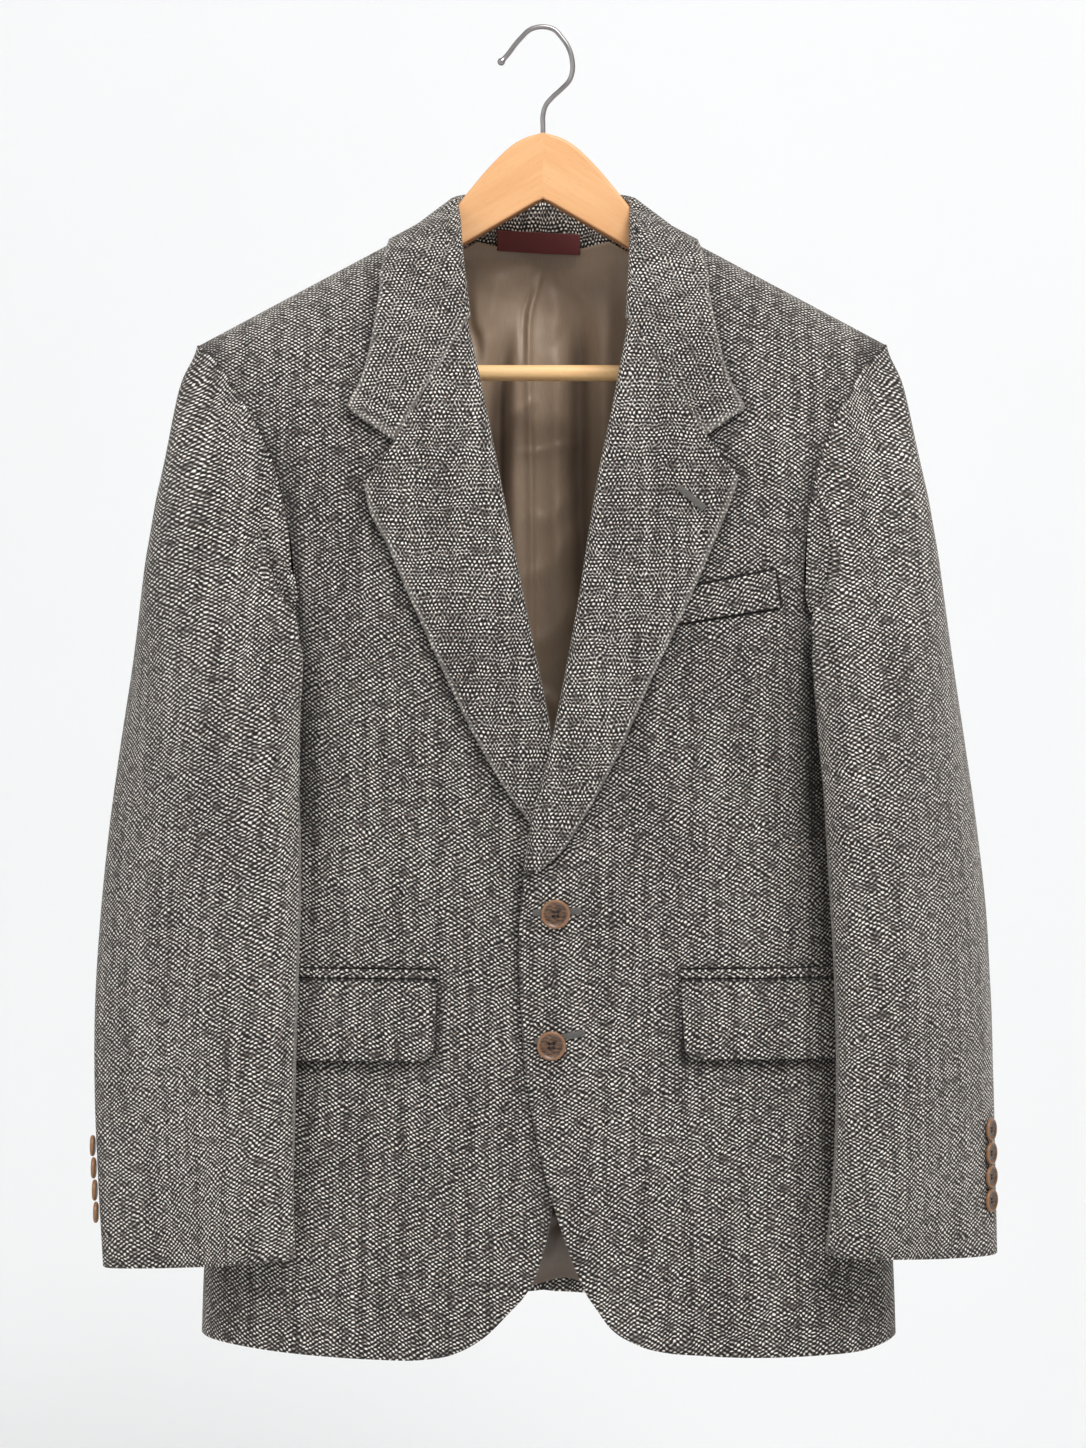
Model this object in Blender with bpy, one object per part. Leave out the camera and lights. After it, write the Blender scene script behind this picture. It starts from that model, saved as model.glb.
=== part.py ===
"""A tweed jacket, two-button and single breasted, hanging on a wooden hanger.

Lengths in the tables are millimetres, and a mesh is scaled to metres when it is made.
+X is the wearer's left, -Y is the front and +Z is up.  The origin is the inner top of
the hanger's hook.  SIDE is +1 for the wearer's left and -1 for the right.
"""
import math

import bmesh
import bpy
import numpy as np
from mathutils import Vector

MM = 0.001
SEAM_GAP = 0.36
TWEED = 2.4
LINING = 1.1
LIFT_OFF = 0.7

# Trunk: rings by height.  Half width and depths are of the outer face.
TRUNK = np.array([
    # height, half width, centre x, front depth, back depth
    (-90, 262, -1.0, 52, 62),
    (-219, 262, -1.0, 64, 62),
    (-300, 240, 2.0, 76, 63),
    (-380, 220, 4.0, 84, 63),
    (-450, 207, 4.0, 85, 61),
    (-540, 207, 4.0, 81, 57),
    (-650, 219, 4.0, 79, 54),
    (-760, 232, 4.0, 80, 56),
    (-850, 240, 4.0, 82, 58),
    (-930, 243, 4.0, 83, 60),
])
RING_POWER = 2.6
SHOULDER_X = (72.0, 240.0)
SHOULDER_Z = (-129.5, -219.0)
ARCH_HEIGHT = 120.0
SIDE_SEAM = math.radians(100)
FIRST_ROW = 0.0025

# Armhole: distance of its front and back edges from the trunk's centre.
ARMHOLE = np.array([
    # height, front edge, back edge
    (-210, 247, 247),
    (-219, 240, 240),
    (-234, 226, 229),
    (-250, 215, 219),
    (-270, 203, 208),
    (-304, 187, 192),
    (-341, 178.5, 183),
    (-370, 175, 179),
    (-401, 174, 178),
    (-450, 174, 178),
])
# Rows where the armhole's edge turns under, and where it meets the side seam.
ROW_TURN = 1.13
ROW_UNDERARM = 1.205
ARMHOLE_ROWS = [(0.0, 0.3, 2), (0.3, 1.0, 4), (1.0, ROW_TURN, 2)]
TURN_STEPS = 5
FRONT_SEAM_ROW = 6
BACK_SEAM_ROW = 3
# The row at which a top sleeve's wall is parted, so that its halves collide closely.
ELBOW_ROW = 11
LOWER_ROWS = [(ROW_UNDERARM, 1.85, 5), (1.85, 2.0, 3)]

# Inner edge of each front: roll line, straight edge, then the cutaway.
EDGE_LEFT = np.array([
    # height, x
    (-129, 72.0), (-139, 66.0), (-160, 64.3), (-209, 56.9), (-265, 47.0), (-320, 36.0),
    (-411, 21.7), (-499, 5.4), (-582, -11.5), (-613, -14.9), (-665, -14.9), (-709, -12.2),
    (-749, -6.8), (-799, 4.7), (-836, 16.3), (-877, 34.0), (-890, 42.0),
])
EDGE_RIGHT = np.array([
    # height, x
    (-129, -72.0), (-139, -66.0), (-157, -60.5), (-211, -50.0), (-271, -37.5), (-349, -22.4),
    (-441, -4.1), (-489, 5.4), (-535, 12.5), (-590, 16.0), (-720, 16.0), (-775, 12.0),
    (-810, 6.1), (-838, 0.7), (-868, -10.8), (-880, -20.0), (-892, -31.0),
])
HEM_LEFT = np.array([
    # x, height
    (34, -877), (45, -892), (63, -903.7), (84, -909.8), (106, -912), (190, -914),
    (220, -913), (247, -908), (280, -908),
])
HEM_RIGHT = np.array([
    # x, height
    (-280, -908), (-239, -907), (-211, -909), (-188, -911), (-150, -913.5), (-116, -915),
    (-82, -914.7), (-61, -910.6), (-39, -898.5), (-20, -880),
])
HEM_BACK = -889.0
HEM_MEETS = 200.0
BACK_NECK_END = 0.62

# The left front laps over the right one.
LAP_FROM = 62.0
LAP_TO = 14.0
LAP_LIFT = 3.2
LAPEL_LIFT = 5.8
LAPEL_LIFT_Z = -545.0
LAPEL_LIFT_SPAN = 95.0

# Soft folds of the fronts and backs, as dents along leaning lines.
FOLDS = np.array([
    # x, top, bottom, lean, half width, depth inwards
    (-128, -560, -905, 6, 30, 2.0),
    (-60, -700, -910, -8, 26, -2.6),
    (118, -600, -905, -4, 32, 1.8),
    (70, -720, -905, 6, 22, -2.4),
    (-134, -350, -560, 22, 26, 2.2),
    (142, -350, -560, -20, 26, 2.0),
])
BACK_FOLDS = np.array([
    # x, top, bottom, lean, half width, depth inwards
    (-110, -260, -900, 14, 26, 3.4),
    (-40, -480, -895, -6, 24, -2.6),
    (52, -430, -895, 8, 24, 3.0),
    (126, -280, -900, -12, 26, 3.2),
])

# Lapels: outer edge from the tip down, the notch and the gorge's inner end.
LAPEL_LEFT = np.array([
    # height, x
    (-317, 132.0), (-333, 126.5), (-360, 115.5), (-397, 99.6), (-449, 74.5), (-511, 46.7),
    (-546, 27.0), (-575, 6.1), (-583, -4.0),
])
LAPEL_RIGHT = np.array([
    # height, x
    (-322, -120.7), (-340, -116.5), (-360, -106.0), (-390, -93.0), (-441, -69.9),
    (-497, -42.7), (-532, -21.7), (-556, -4.0), (-574, 9.0),
])
NOTCH_LEFT = (110.0, -288.0)
NOTCH_RIGHT = (-100.5, -291.5)
GORGE_LEFT = (58.5, -208.0)
GORGE_RIGHT = (-51.0, -211.0)
LAPEL_BELLY = 2.6

# Collar fall: stations from the front end to the centre back, as magnitudes of x.
COLLAR = np.array([
    # fold x, fold y, fold z, outer x, outer y, outer z
    (57.0, -52, -206.5, 134.5, -60, -268),
    (59.5, -43, -183.0, 124.0, -60, -246),
    (61.5, -33, -160.0, 117.0, -54, -215),
    (63.0, -20, -135.0, 112.0, -38, -180),
    (64.5, -8, -119.0, 108.0, -16, -153),
    (63.5, 8, -114.5, 106.5, 12, -149),
    (56.5, 28, -110.5, 97.0, 44, -158),
    (43.0, 46, -108.0, 78.0, 64, -163),
    (24.0, 57, -107.0, 45.0, 70, -164),
    (0.0, 61, -106.5, 0.0, 72, -164),
])
# The fold and outer edge of the left and of the right collar end, moved along X.
COLLAR_SHIFT = (1.6, 2.6, 5.4, 1.4)
STAND = np.array([
    # foot x, foot y, foot z, top x, top y, top z
    (71.5, -5, -128.0, 65.5, -5, -124.5),
    (71.0, 5, -128.2, 64.0, 5, -121.0),
    (66.0, 20, -133.0, 57.0, 20, -117.6),
    (52.0, 36, -140.5, 44.5, 37, -114.6),
    (28.0, 47, -145.5, 25.0, 49, -113.2),
    (0.0, 50, -147.0, 0.0, 54, -112.6),
])

# Sleeves: sections by height, with the extents seen from the front.
SLEEVE_LEFT = np.array([
    # height, outer x, inner x, half long, half short, centre y
    (-219, 246, 168, 64, 38, -2),
    (-257, 255, 172, 72, 42, -4),
    (-313, 266, 176, 78, 45, -7),
    (-397, 280, 178, 80, 46, -22),
    (-453, 288, 181, 80, 44, -34),
    (-537, 301, 188, 80, 38, -40),
    (-621, 310.5, 195, 79, 35, -42),
    (-705, 314, 198, 77, 33, -44),
    (-789, 315, 196, 73, 29, -48),
    (-852, 315, 190, 69, 24, -50),
])
SLEEVE_RIGHT = np.array([
    # height, outer x, inner x, half long, half short, centre y
    (-219, 248, 168, 64, 38, -2),
    (-257, 257, 166, 72, 42, -4),
    (-313, 267, 165, 78, 45, -7),
    (-397, 281, 165, 80, 46, -20),
    (-453, 289, 163.5, 81, 41, -32),
    (-537, 301, 162.5, 82, 35, -38),
    (-621, 309, 165, 81, 33, -40),
    (-705, 312, 167.5, 79, 29, -46),
    (-789, 308, 168, 74, 24, -53),
    (-858, 303, 166, 70.5, 20, -56),
])
CUFF_LEFT = (-840.0, -850.0)
CUFF_RIGHT = (-841.0, -857.0)
ROOT_LENGTH = (16.0, 110.0)
CAP_BOTTOM = -392.0
CAP_FRONT = math.radians(158)
CAP_BACK = math.radians(110)
CAP_FULLNESS = (6.0, 16.0)
CAP_FULL_Z = (-260.0, -390.0)
ROOT_GAP = 1.3
ROW_BUNCH = 0.72
ROOT_TURN = (1.04, 1.17)
ROOT_BLEND = (0.0, 0.07)
FINE_STEPS = 12
SETTLING = 20
WALL_EVENING = 3
SETTLED_ROWS = 6
SLEEVE_ROWS = [(0.0, 0.045, 3), (0.045, 0.25, 5), (0.25, 1.0, 8)]
TWIST = math.radians(64)
FRONT_SEAM_CUFF = math.radians(120)
BACK_SEAM_CUFF = {1: math.radians(379), -1: math.radians(345)}
TRUNK_CLEARANCE = 6.5
UNDER_SPAN = (math.radians(132), math.radians(146))
CLEAR_BELOW = (-392.0, -412.0)
# Elbow and forearm folds across a sleeve.
SLEEVE_FOLDS = np.array([
    # along, around in degrees, half length, half spread, depth
    (0.33, 150, 0.035, 50, 3.0),
    (0.45, 120, 0.030, 45, 2.6),
    (0.56, 170, 0.030, 40, 2.2),
    (0.24, 60, 0.050, 40, 1.8),
])

# Pockets lie on the fronts: ends by trunk angle, top and bottom by height.
FLAP_LEFT = {"inner": 94.5, "outer": math.radians(72), "top": -656.5, "bottom": -711.5}
FLAP_RIGHT = {"inner": -73.0, "outer": math.radians(72), "top": -656.5, "bottom": -712.5}
FLAP_THICKNESS = 2.0
FLAP_GAP = 0.85
JET_THICKNESS = 1.5
JET_HEIGHT = 4.6
JET_OVERHANG = 1.2
WELT = {"top": ((104.0, -391.0), (157.5, -380.0)), "bottom": ((92.0, -415.5), (161.0, -404.0))}
WELT_THICKNESS = 1.2

# Buttons: radius, thickness at the rim, radius of a thread hole and its offset.
FRONT_BUTTON = (9.9, 3.6, 1.0, 2.0)
FRONT_BUTTON_PLACES = ((8.5, -612.5), (5.7, -701.7))
CUFF_BUTTON = {1: (7.9, 3.0), -1: (7.35, 3.0)}
CUFF_BUTTON_TURN = {1: math.radians(7), -1: math.radians(15)}
CUFF_BUTTON_PITCH = {1: 16.2, -1: 15.1}
CUFF_BUTTON_LOWEST = {1: -813.0, -1: -821.0}

# Hanger.
WOOD_THICKNESS = 13.0
WOOD_TOP = ((0.0, -71.0), (9.0, -71.8), (18.0, -76.0), (26.5, -83.0), (34.0, -91.0),
            (41.0, -98.0), (48.0, -107.0), (55.5, -116.0), (62.5, -125.5), (74.0, -136.8))
WOOD_ARM_END = 214.0
WOOD_BELOW_SHOULDER = 6.0
WOOD_NOTCH = ((0.0, -117.0), (61.0, -152.5))
BAR_Z = -238.4
BAR_RADIUS = 5.6
BAR_HALF = 178.7
LOBE = (179.0, 207.0, -249.0)
HOOK_RADIUS = 1.75
HOOK_PATH = (
    # x, z: tip, bend over the top and down to the stem
    (-29.2, -20.5), (-24.0, -14.6), (-20.5, -9.8), (-15.2, -3.6), (-9.0, 2.0), (0.0, 4.0),
    (7.5, 2.2), (13.3, -3.8), (17.8, -10.5), (20.4, -19.0), (20.6, -27.0), (18.5, -33.5),
    (13.0, -39.5), (7.0, -45.0), (2.0, -51.0), (0.0, -58.0), (0.0, -66.0), (0.0, -92.0),
)
HOOK_BALL = 2.7
BORE_DEPTH = 24.0


# ---------------------------------------------------------------- reading tables

def smooth(rows, column, at):
    """Read a table's column at a value of its first one, along a smooth curve."""
    order = np.argsort(rows[:, 0])
    x = rows[order, 0].astype(float)
    y = rows[order, column].astype(float)
    slope = np.gradient(y, x)
    at = np.asarray(at, float)
    i = np.clip(np.searchsorted(x, at) - 1, 0, len(x) - 2)
    h = x[i + 1] - x[i]
    t = np.clip((at - x[i]) / h, 0.0, 1.0)
    h00 = (1 + 2 * t) * (1 - t) ** 2
    h10 = t * (1 - t) ** 2
    h01 = t * t * (3 - 2 * t)
    h11 = t * t * (t - 1)
    return h00 * y[i] + h10 * h * slope[i] + h01 * y[i + 1] + h11 * h * slope[i + 1]


def ramp(value, start, end):
    """0 before start, 1 after end, with soft ends."""
    t = np.clip((np.asarray(value, float) - start) / (end - start), 0.0, 1.0)
    return t * t * (3 - 2 * t)


def mix(a, b, t):
    return a + (b - a) * t


# ---------------------------------------------------------------- trunk

def shoulder_height(x):
    """Top of the shoulder, a straight slope from the neck to the sleeve head."""
    slope = (SHOULDER_Z[1] - SHOULDER_Z[0]) / (SHOULDER_X[1] - SHOULDER_X[0])
    return SHOULDER_Z[0] + slope * (np.sqrt(np.asarray(x) ** 2 + 9.0) - SHOULDER_X[0])


def hem_height(x, part, side):
    rows = HEM_LEFT if side > 0 else HEM_RIGHT
    front = smooth(rows, 1, x)
    if part == "front":
        return front
    wide = ramp(np.abs(x), 0, HEM_MEETS)
    return mix(HEM_BACK, np.where(wide < 0.5, HEM_BACK - 20, front), wide)


def row_height(x, row, part, side):
    """Height of a cross row: 0 at the shoulder seam, 1 below the arch, 2 at the hem."""
    top = shoulder_height(x)
    rise = np.sin(np.clip(row, -1.0, 1.0) * math.pi / 2)
    upper = top - ARCH_HEIGHT * (1 - np.cos(np.clip(row, -1.0, 1.0) * math.pi / 2))
    lower = mix(top - ARCH_HEIGHT, hem_height(x, part, side), np.clip(row - 1, 0.0, 1.2))
    return np.where(row < 1, upper, lower), np.where(row < 1, rise, 1.0)


def ring_fullness(s):
    return np.clip(1 - np.abs(s) ** RING_POWER, 0, 1) ** (1 / RING_POWER)


def fold_depth(x, z, folds):
    total = np.zeros(np.broadcast(x, z).shape)
    for fold_x, top, bottom, lean, width, depth in folds:
        along = (top - z) / (top - bottom)
        centre = fold_x + lean * (along - 0.5) + 3.0 * np.sin(along * 5.0 + fold_x)
        strength = ramp(along, 0.0, 0.35) * (1 - 0.35 * ramp(along, 0.7, 1.0))
        total = total + depth * strength * np.exp(-((x - centre) / width) ** 2)
    return total


def lap_lift(x, z):
    """How far the left front stands out where it laps over the right one."""
    lapel = LAPEL_LIFT * np.exp(-((z - LAPEL_LIFT_Z) / LAPEL_LIFT_SPAN) ** 2)
    return (LAP_LIFT + lapel) * (1 - ramp(x, LAP_TO, LAP_FROM))


def depth_at(x, z, s, rise, part, side, out):
    if part == "back":
        return (smooth(TRUNK, 4, z) + out) * ring_fullness(s) * rise - fold_depth(x, z, BACK_FOLDS)
    depth = (smooth(TRUNK, 3, z) + out) * ring_fullness(s) * rise
    depth = depth - fold_depth(x, z, FOLDS) * ring_fullness(s)
    if side > 0:
        depth = depth + lap_lift(x, z) * rise
    return depth


def trunk_point(side, angle, row, part, out=0.0):
    """A point of the trunk's outer face by ring angle (0 front, 180 back) and row."""
    angle, row = np.broadcast_arrays(np.asarray(angle, float), np.asarray(row, float))
    s = np.sin(angle)
    x = side * 150.0 * s
    for _ in range(5):
        z, rise = row_height(x, row, part, side)
        x = smooth(TRUNK, 2, z) + side * (smooth(TRUNK, 1, z) + out) * s
    front = depth_at(x, z, s, rise, "front", side, out)
    back = depth_at(x, z, s, rise, "back", side, out)
    y = np.where(np.abs(angle) < math.pi / 2, -front, back)
    return np.stack([x, y, z + out * (1 - rise)], -1)


def surface_y(x, z, part="front", side=1, out=0.0):
    """The trunk's outer face as a height field over x and z."""
    x, z = np.broadcast_arrays(np.asarray(x, float), np.asarray(z, float))
    s = (x - smooth(TRUNK, 2, z)) / (smooth(TRUNK, 1, z) + out)
    fallen = (shoulder_height(x) + out - z) / ARCH_HEIGHT
    rise = np.sqrt(np.clip(1 - (1 - np.clip(fallen, 0, 1)) ** 2, 0, 1))
    depth = depth_at(x, z, s, rise, part, side, out)
    return depth if part == "back" else -depth


def ring_angle(x, z, side, part):
    s = np.clip(side * (x - smooth(TRUNK, 2, z)) / smooth(TRUNK, 1, z), -0.9999, 0.9999)
    return math.pi - np.arcsin(s) if part == "back" else np.arcsin(s)


def edge_angle(row, side, part):
    """Ring angle where a row meets the upright part of the armhole's edge."""
    column = 2 if part == "back" else 1
    angle = np.full(np.shape(row), math.radians(70 if part == "front" else 110))
    for _ in range(12):
        z = trunk_point(side, angle, row, part)[..., 2]
        x = smooth(TRUNK, 2, z) + side * smooth(ARMHOLE, column, z)
        angle = ring_angle(x, z, side, part)
    return angle


def outer_angle(row, side, part):
    """Ring angle of a panel's outer boundary: the armhole, then the side seam."""
    row = np.asarray(row, float)
    turn = np.clip((row - ROW_TURN) / (ROW_UNDERARM - ROW_TURN), 0, 1)
    start = edge_angle(np.minimum(row, ROW_UNDERARM), side, part)
    return mix(start, SIDE_SEAM, 1 - np.sqrt(1 - turn ** 2))


def inner_angle(row, side, part):
    if part == "back":
        along = np.clip(row / BACK_NECK_END, 0, 1)
        x = side * SHOULDER_X[0] * np.sqrt(1 - along ** 2)
        z = row_height(x, row, part, side)[0]
        return ring_angle(x, z, side, part)
    edge = EDGE_LEFT if side > 0 else EDGE_RIGHT
    x = np.full(np.shape(row), edge[4, 1])
    for _ in range(8):
        z = row_height(x, row, part, side)[0]
        x = smooth(edge, 1, z)
    return ring_angle(x, z, side, part)


def spaced_rows(breaks):
    """Row values from a list of (start, end, steps)."""
    rows = [breaks[0][0]]
    for start, end, steps in breaks:
        rows += [mix(start, end, (k + 1) / steps) for k in range(steps)]
    return np.array(rows)


def armhole_rows():
    """Panel rows down the armhole, closing up where its edge turns under."""
    turn = np.sin(np.linspace(0, math.pi / 2, TURN_STEPS + 1))[1:]
    return np.concatenate([spaced_rows(ARMHOLE_ROWS), mix(ROW_TURN, ROW_UNDERARM, turn)])


def trunk_panel(side, part, rows, columns):
    rows = rows.copy()
    rows[0] = FIRST_ROW
    u = np.linspace(0, 1, columns + 1) ** (1.35 if part == "front" else 1.0)
    inner = inner_angle(rows, side, part)
    outer = outer_angle(rows, side, part)
    edge = SEAM_GAP / 2 / 200.0
    turn = 1 if part == "front" else -1
    first = inner + turn * edge
    last = outer - turn * edge * 1.6
    angle = mix(first[:, None], last[:, None], u[None, :])
    row = np.broadcast_to(rows[:, None], angle.shape)
    return angle, row


# ---------------------------------------------------------------- meshes

def grid_normals(grid):
    du = np.gradient(grid, axis=1)
    dv = np.gradient(grid, axis=0)
    normal = np.cross(du, dv)
    length = np.linalg.norm(normal, axis=-1, keepdims=True)
    return normal / np.maximum(length, 1e-9)


def wall_mesh(name, outer, inner):
    """A closed wall between two grids of points."""
    rows, columns = outer.shape[:2]
    points = np.concatenate([outer.reshape(-1, 3), inner.reshape(-1, 3)]) * MM
    offset = rows * columns
    faces = []
    for i in range(rows - 1):
        for j in range(columns - 1):
            a = i * columns + j
            b, c, d = a + 1, a + columns + 1, a + columns
            faces.append((a, b, c, d))
            faces.append((d + offset, c + offset, b + offset, a + offset))
    for a in range(columns - 1):
        b = a + (rows - 1) * columns
        faces.append((a, a + offset, a + 1 + offset, a + 1))
        faces.append((b + 1, b + 1 + offset, b + offset, b))
    for i in range(rows - 1):
        a = i * columns
        b = a + columns
        faces.append((a, b, b + offset, a + offset))
        faces.append((b + columns - 1, b - 1, b - 1 + offset, b + columns - 1 + offset))
    mesh = bpy.data.meshes.new(name)
    mesh.from_pydata([tuple(p) for p in points], [], faces)
    face_out(mesh)
    return mesh


def face_out(mesh):
    """Split faces into triangles and turn them so that the body's volume is positive."""
    bm = bmesh.new()
    bm.from_mesh(mesh)
    bmesh.ops.triangulate(bm, faces=bm.faces[:])
    if bm.calc_volume(signed=True) < 0:
        bmesh.ops.reverse_faces(bm, faces=bm.faces[:])
    bm.to_mesh(mesh)
    bm.free()


def place(mesh, made_of):
    item = bpy.data.objects.new(mesh.name, mesh)
    bpy.context.scene.collection.objects.link(item)
    mesh.materials.clear()
    mesh.materials.append(made_of)
    mesh.shade_smooth()
    mesh.set_sharp_from_angle(angle=math.radians(40))
    return item


def material(name, colour, roughness, metallic=0.0):
    made = bpy.data.materials.new(name)
    made.use_nodes = True
    shader = made.node_tree.nodes["Principled BSDF"]
    shader.inputs["Base Color"].default_value = (*colour, 1.0)
    shader.inputs["Roughness"].default_value = roughness
    shader.inputs["Metallic"].default_value = metallic
    made.diffuse_color = (*colour, 1.0)
    return made


def inward(grid, normal, thickness, towards):
    """The inner face: the grid moved by the wall's thickness, away from `towards`."""
    sign = np.sign(np.sum(normal * towards, -1, keepdims=True))
    sign[sign == 0] = 1
    return grid - normal * sign * thickness


# ---------------------------------------------------------------- trunk panels

def build_trunk(tweed):
    for side, name in ((1, "left"), (-1, "right")):
        rows = np.concatenate([armhole_rows(), spaced_rows(LOWER_ROWS)[1:]])
        for part, columns in (("front", 15), ("back", 9)):
            angle, row = trunk_panel(side, part, rows, columns)
            outer = trunk_point(side, angle, row, part)
            inner = trunk_point(side, angle, row, part, out=-TWEED)
            place(wall_mesh(f"{part}_{name}", outer, inner), tweed)


# ---------------------------------------------------------------- lapels

def lapel_panel(side, rows, columns):
    edge = EDGE_LEFT if side > 0 else EDGE_RIGHT
    outline = LAPEL_LEFT if side > 0 else LAPEL_RIGHT
    notch = NOTCH_LEFT if side > 0 else NOTCH_RIGHT
    gorge = GORGE_LEFT if side > 0 else GORGE_RIGHT
    v = np.linspace(0, 1, rows + 1)
    u = np.linspace(0, 1, columns + 1)
    fold_z = mix(gorge[1] - 0.4, outline[-1, 0], v)
    fold_x = smooth(edge, 1, fold_z) + side * 0.2
    rim_z = mix(outline[0, 0], outline[-1, 0] - 0.6, v ** 1.1)
    rim_x = smooth(outline, 1, rim_z)
    x = mix(fold_x[:, None], rim_x[:, None], u)
    z = mix(fold_z[:, None], rim_z[:, None], u)
    bend = columns * 2 // 3
    weight = np.where(u < u[bend], u / u[bend], (1 - u) / (1 - u[bend]))
    pull = np.clip(1 - v * 6, 0, 1)[:, None] * weight[None, :]
    x = x + pull * (notch[0] - mix(fold_x[0], rim_x[0], u[bend]))
    z = z + pull * (notch[1] - 0.4 - mix(fold_z[0], rim_z[0], u[bend]))
    belly = LAPEL_BELLY * np.sin(math.pi * np.clip(u, 0, 1))[None, :] * (1 - v[:, None] ** 3)
    return x, z, belly


def build_lapels(tweed):
    for side, name in ((1, "left"), (-1, "right")):
        x, z, belly = lapel_panel(side, 14, 6)
        stand_off = LIFT_OFF + (WELT_THICKNESS if side > 0 else 0.0)
        under = np.stack([x, surface_y(x, z, "front", side) - stand_off - belly, z], -1)
        over = under - np.array([0, TWEED, 0])
        place(wall_mesh(f"lapel_{name}", over, under), tweed)


# ---------------------------------------------------------------- collar

def collar_rows(table, stations, shift):
    """The half table mirrored into a whole run from the right front to the left front."""
    keys = np.arange(len(table))
    rows = np.column_stack([keys, table])
    t = np.linspace(0, len(table) - 1, stations + 1)
    half = np.stack([smooth(rows, c, t) for c in range(1, 7)], -1)
    right = half * np.array([-1, 1, 1, -1, 1, 1])
    fade = np.clip(1 - t / 5, 0, 1)
    half[:, 0] += shift[0] * fade
    half[:, 3] += shift[1] * fade
    right[:, 0] += shift[2] * fade
    right[:, 3] += shift[3] * fade
    return np.concatenate([right, half[-2::-1]])


def collar_points(stations, columns):
    run = collar_rows(COLLAR, stations, COLLAR_SHIFT)
    u = np.linspace(0, 1, columns + 1)
    points = mix(run[:, None, :3], run[:, None, 3:], u[None, :, None])
    bend = columns * 2 // 3
    weight = np.where(u < u[bend], u / u[bend], (1 - u) / (1 - u[bend]))
    for index, notch in ((0, NOTCH_RIGHT), (-1, NOTCH_LEFT)):
        step = 1 if index == 0 else -1
        target = np.array([notch[0], notch[1] + 0.4])
        change = target - points[index, bend, [0, 2]]
        for k, share in enumerate((1.0, 0.45, 0.12)):
            points[index + k * step, :, 0] += weight * share * change[0]
            points[index + k * step, :, 2] += weight * share * change[1]
    return points


def ridge_height(x, y, out):
    """Height of the shoulder's top over x and y, from the arch between front and back."""
    depth = np.where(y < 0, smooth(TRUNK, 3, -190), smooth(TRUNK, 4, -190)) + out
    fall = np.sqrt(np.clip(1 - (y / depth) ** 2, 0, 1))
    return shoulder_height(x) + out - ARCH_HEIGHT * (1 - fall)


def keep_off_trunk(points, out):
    """Push points clear of the trunk's outer face, upwards, forwards or backwards."""
    x, y, z = points[..., 0], points[..., 1], points[..., 2]
    z = np.where((np.abs(y) < 42) & (np.abs(x) > 66), np.maximum(z, ridge_height(x, y, out)), z)
    side = np.where(x > 0, 1, -1)
    front = np.where(side > 0, surface_y(x, z, "front", 1, out), surface_y(x, z, "front", -1, out))
    back = surface_y(x, z, "back", 1, out)
    below = z < shoulder_height(x) + out
    y = np.where(below & (y <= 0), np.minimum(y, front), y)
    y = np.where(below & (y > 0), np.maximum(y, back), y)
    return np.stack([x, y, z], -1)


def build_collar(tweed):
    points = keep_off_trunk(collar_points(18, 6), LIFT_OFF + TWEED + 0.6)
    normal = grid_normals(points)
    away = points - np.array([0, 0, -230.0])
    away[..., 2] = np.abs(away[..., 2]) * 0.4
    inner = inward(points, normal, TWEED, away)
    place(wall_mesh("collar_fall", points, inner), tweed)
    run = collar_rows(STAND, 8, (0, 0, 0, 0))
    u = np.linspace(0, 1, 3)
    face = mix(run[:, None, :3], run[:, None, 3:], u[None, :, None])
    normal = grid_normals(face)
    outside = face * np.array([1, 1, 0])
    inner = inward(face, normal, TWEED, outside)
    place(wall_mesh("collar_stand", face, inner), tweed)


# ---------------------------------------------------------------- sleeves

def armhole_row(around):
    """Panel row by angle around the armhole: 0 top, 90 front, 180 underarm, 270 back."""
    return np.maximum(ROW_UNDERARM * ((1 - np.cos(around)) / 2) ** ROW_BUNCH, FIRST_ROW)


def around_at(row):
    return np.arccos(1 - 2 * (row / ROW_UNDERARM) ** (1 / ROW_BUNCH))


def armhole_ring(around, side, out=0.0):
    """The armhole's edge by angle around it."""
    row = armhole_row(around)
    front = trunk_point(side, outer_angle(row, side, "front"), row, "front", out)
    back = trunk_point(side, outer_angle(row, side, "back"), row, "back", out)
    return np.where((np.sin(around) < 0)[..., None], back, front)


def hanging_section(around, z, side):
    """A flattened ring, its long axis turned so that it has the widths of the table."""
    rows = SLEEVE_LEFT if side > 0 else SLEEVE_RIGHT
    outer, inner = smooth(rows, 1, z), smooth(rows, 2, z)
    long_half, short_half = smooth(rows, 3, z), smooth(rows, 4, z)
    half = (outer - inner) / 2
    share = (half ** 2 - short_half ** 2) / (long_half ** 2 - short_half ** 2)
    turn = np.arccos(np.sqrt(np.clip(share, 0, 1)))
    start = np.arctan2(short_half * np.sin(turn), long_half * np.cos(turn))
    p = long_half * np.cos(around + start)
    q = short_half * np.sin(around + start)
    x = (outer + inner) / 2 + p * np.cos(turn) + q * np.sin(turn)
    y = smooth(rows, 5, z) + p * np.sin(turn) - q * np.cos(turn)
    return np.stack([side * x, y, z], -1)


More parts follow.
